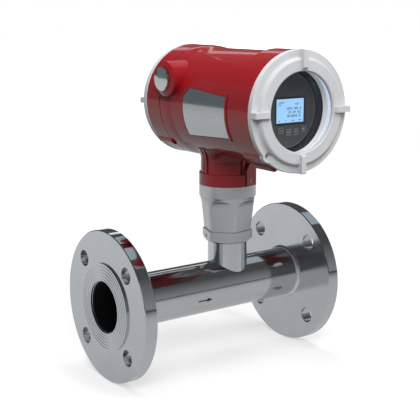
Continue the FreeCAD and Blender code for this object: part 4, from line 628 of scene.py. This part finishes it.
KEY_MARGIN = 1.3 * MM
MARK_WIDTH = 0.42 * MM
MARK_THICK = 0.05 * MM
KEY_SIGNS = (
    [(-1.5, -0.3), (1.5, -0.3), (1.5, 0.3), (-1.5, 0.3)],
    [(-1.4, -0.3), (0.2, -0.3), (0.2, -1.2), (1.6, 0), (0.2, 1.2), (0.2, 0.3), (-1.4, 0.3)],
    [(-0.3, -1.4), (0.3, -1.4), (0.3, 0.2), (1.2, 0.2), (0, 1.6), (-1.2, 0.2), (-0.3, 0.2)],
    [(-1.2, -1.2), (1.2, -1.2), (1.2, 1.2), (-1.2, 1.2)],
)


def key_marks(node, body, sign):
    low, high = (Vector(corner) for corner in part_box(node))
    centre = (low + high) / 2
    half = (high.x - low.x) / 2 - KEY_MARGIN
    face = low.y - MARK_THICK / 2
    shape = bmesh.new()
    for side in (-1, 1):
        upright = (centre.x + side * half, face, centre.z)
        add_box(shape, upright, (MARK_WIDTH, MARK_THICK, half * 2 + MARK_WIDTH))
        level = (centre.x, face, centre.z + side * half)
        add_box(shape, level, (half * 2 - MARK_WIDTH, MARK_THICK, MARK_WIDTH))
    outline = [(u * MM, v * MM) for u, v in sign]
    add_flat(shape, outline, MARK_THICK, (1, 0, 0), (0, 0, 1), (centre.x, low.y, centre.z))
    add_piece(node + "_marks", shape, "marks", body)


# Fine ribs round the rim of the display panel

RIM_RIBS = 120
RIM_RIB_RADIUS = 42.6 * MM
RIM_RIB_SIZE = (1.5 * MM, 0.5 * MM, 1.0 * MM)


def bezel_ribs():
    shape = bmesh.new()
    centre = Matrix.Translation((STEM_X, BEZEL_RIM, BARREL_Z))
    rib = Matrix.Translation((RIM_RIB_RADIUS, 0, 0)) @ Matrix.Diagonal((*RIM_RIB_SIZE, 1))
    for k in range(RIM_RIBS):
        turn = Matrix.Rotation(2 * math.pi * k / RIM_RIBS, 4, "Y")
        bmesh.ops.create_cube(shape, size=1, matrix=centre @ turn @ rib)
    add_piece("bezel_ribs", shape, "rubber", "head")


# The set

AMBIENT = 0.2
DARK_ROOM = 0.08
FLOOR_SIDE = 24
FLOOR_SEEN = (0.44, 0.44, 0.44)
FLOOR_BOUNCED = (0.1, 0.1, 0.1)
FLOOR_NEAR = 0.43
FLOOR_FRONT = 0.2
FLOOR_BACK = 0.56
FLOOR_RISE = 0.2
FLOOR_GLOW = 0.5
FLOOR_GLOW_RISE = 0.16
CAMERA_PLACE = Vector((SEALING_FACE_X - 0.4599, -0.8383, 0.3080))
CAMERA_TARGET = Vector((SEALING_FACE_X + 0.1387, 0.0, 0.0885))
CAMERA_LENS = 80.16
SET_CENTRE = Vector((STEM_X, 0, 0.1))
COOL_WHITE = (0.8, 0.93, 1.0)


def stage_sheet(name, surface, matrix):
    """A flat sheet of the studio, one metre square before its matrix."""
    shape = bmesh.new()
    bmesh.ops.create_grid(shape, x_segments=1, y_segments=1, size=0.5, matrix=matrix)
    sheet = mesh_object(name, shape, surface.material)
    return sheet


def studio_floor():
    """White for the camera, with a soft shadow; greyer with distance for reflections."""
    surface = Surface("floor_white", roughness=1.0)
    rays = surface.node("ShaderNodeLightPath")
    seen = rays["Is Camera Ray"].larger(rays["Is Transmission Ray"])
    across, along, _ = surface.axes((STEM_X, 0, 0))
    far = round_distance(across, along)
    mirrored = (FLOOR_NEAR + along * FLOOR_RISE).larger(FLOOR_FRONT).smaller(FLOOR_BACK)
    surface.drive("Base Color", surface.blend(seen, FLOOR_BOUNCED, FLOOR_SEEN))
    surface.drive("Emission Color", (1.0, 1.0, 1.0))
    white = FLOOR_GLOW + far * FLOOR_GLOW_RISE
    surface.drive("Emission Strength", seen * white + rays["Is Glossy Ray"] * mirrored)
    surface.shader.inputs["Specular IOR Level"].default_value = 0.0
    matrix = Matrix.Translation((0, 0, FLOOR_Z)) @ Matrix.Scale(FLOOR_SIDE, 4)
    stage_sheet("studio_floor", surface, matrix)


def studio_world():
    """White for the camera, dark for reflections, grey as ambient light."""
    world = bpy.data.worlds.new("studio_world")
    world.use_nodes = True
    bpy.context.scene.world = world
    surface = Surface("studio_world", world.node_tree)
    rays = surface.node("ShaderNodeLightPath")
    seen = rays["Is Camera Ray"].larger(rays["Is Transmission Ray"])
    strength = seen * (1 - AMBIENT) + rays["Is Glossy Ray"] * (DARK_ROOM - AMBIENT) + AMBIENT
    background = world.node_tree.nodes["Background"]
    surface.feed(background.inputs["Strength"], strength)
    background.inputs["Color"].default_value = (1, 1, 1, 1)


def reflected_card(name, centre, size, shade, tint=(1.0, 1.0, 1.0), fade=0.0):
    """A card that only reflections see; it faces the meter, and may fade with height."""
    surface = Surface(name + "_cloth", roughness=1.0, base_color=(0.0, 0.0, 0.0))
    surface.shader.inputs["Specular IOR Level"].default_value = 0.0
    surface.shader.inputs["Emission Color"].default_value = (*tint, 1)
    height = surface.axes()[2]
    surface.drive("Emission Strength", (shade - height * fade).larger(0.0))
    facing = (SET_CENTRE - Vector(centre)).to_track_quat("Z", "Y").to_matrix().to_4x4()
    matrix = Matrix.Translation(centre) @ facing @ Matrix.Diagonal((*size, 1, 1))
    card = stage_sheet(name, surface, matrix)
    card.visible_camera = False
    card.visible_diffuse = False
    card.visible_shadow = False
    card.visible_transmission = False


def lamp(name, place, size, power):
    """An area lamp aimed at the meter, which reflections don't see."""
    light = bpy.data.lights.new(name, "AREA")
    light.shape = "RECTANGLE"
    light.size, light.size_y = size
    light.energy = power
    holder = bpy.data.objects.new(name, light)
    holder.location = place
    holder.rotation_euler = (SET_CENTRE - Vector(place)).to_track_quat("-Z", "Y").to_euler()
    holder.visible_glossy = False
    bpy.context.scene.collection.objects.link(holder)


def add_camera():
    data = bpy.data.cameras.new("camera")
    data.lens = CAMERA_LENS
    data.sensor_width = 36
    data.clip_end = 50
    holder = bpy.data.objects.new("camera", data)
    holder.location = CAMERA_PLACE
    holder.rotation_euler = (CAMERA_TARGET - CAMERA_PLACE).to_track_quat("-Z", "Y").to_euler()
    bpy.context.scene.collection.objects.link(holder)
    bpy.context.scene.camera = holder


def build_set():
    studio_floor()
    studio_world()
    lamp("key_light", (-0.9, -1.5, 1.5), (0.9, 0.9), 34)
    lamp("fill_light", (1.5, -1.2, 0.7), (0.8, 1.2), 9)
    lamp("top_light", (0.1, 0.45, 1.7), (1.5, 0.8), 19)
    lamp("front_top_light", (0.35, -0.75, 1.5), (0.35, 0.35), 9)
    reflected_card("front_card", (0.5, -3.0, 1.5), (6.0, 2.9), 0.3, fade=0.08)
    reflected_card("left_card", (-3.2, -0.6, 0.85), (3.6, 1.4), 0.26)
    reflected_card("overhead_card", (1.5, 0.75, 2.3), (2.0, 1.5), 0.5, COOL_WHITE)
    reflected_card("back_right_card", (1.5, 2.4, 1.5), (1.3, 0.3), 1.1)
    reflected_card("back_left_card", (-2.4, 2.6, 1.0), (3.4, 2.0), 0.2, COOL_WHITE)
    add_camera()
    bpy.context.scene.view_settings.view_transform = "Standard"


dress_nodes()
flow_arrow()
screen_figures()
screen_border()
for node, body, sign in zip(KEYS, KEY_BODIES, KEY_SIGNS):
    key_marks(node, body, sign)
bezel_ribs()
build_set()
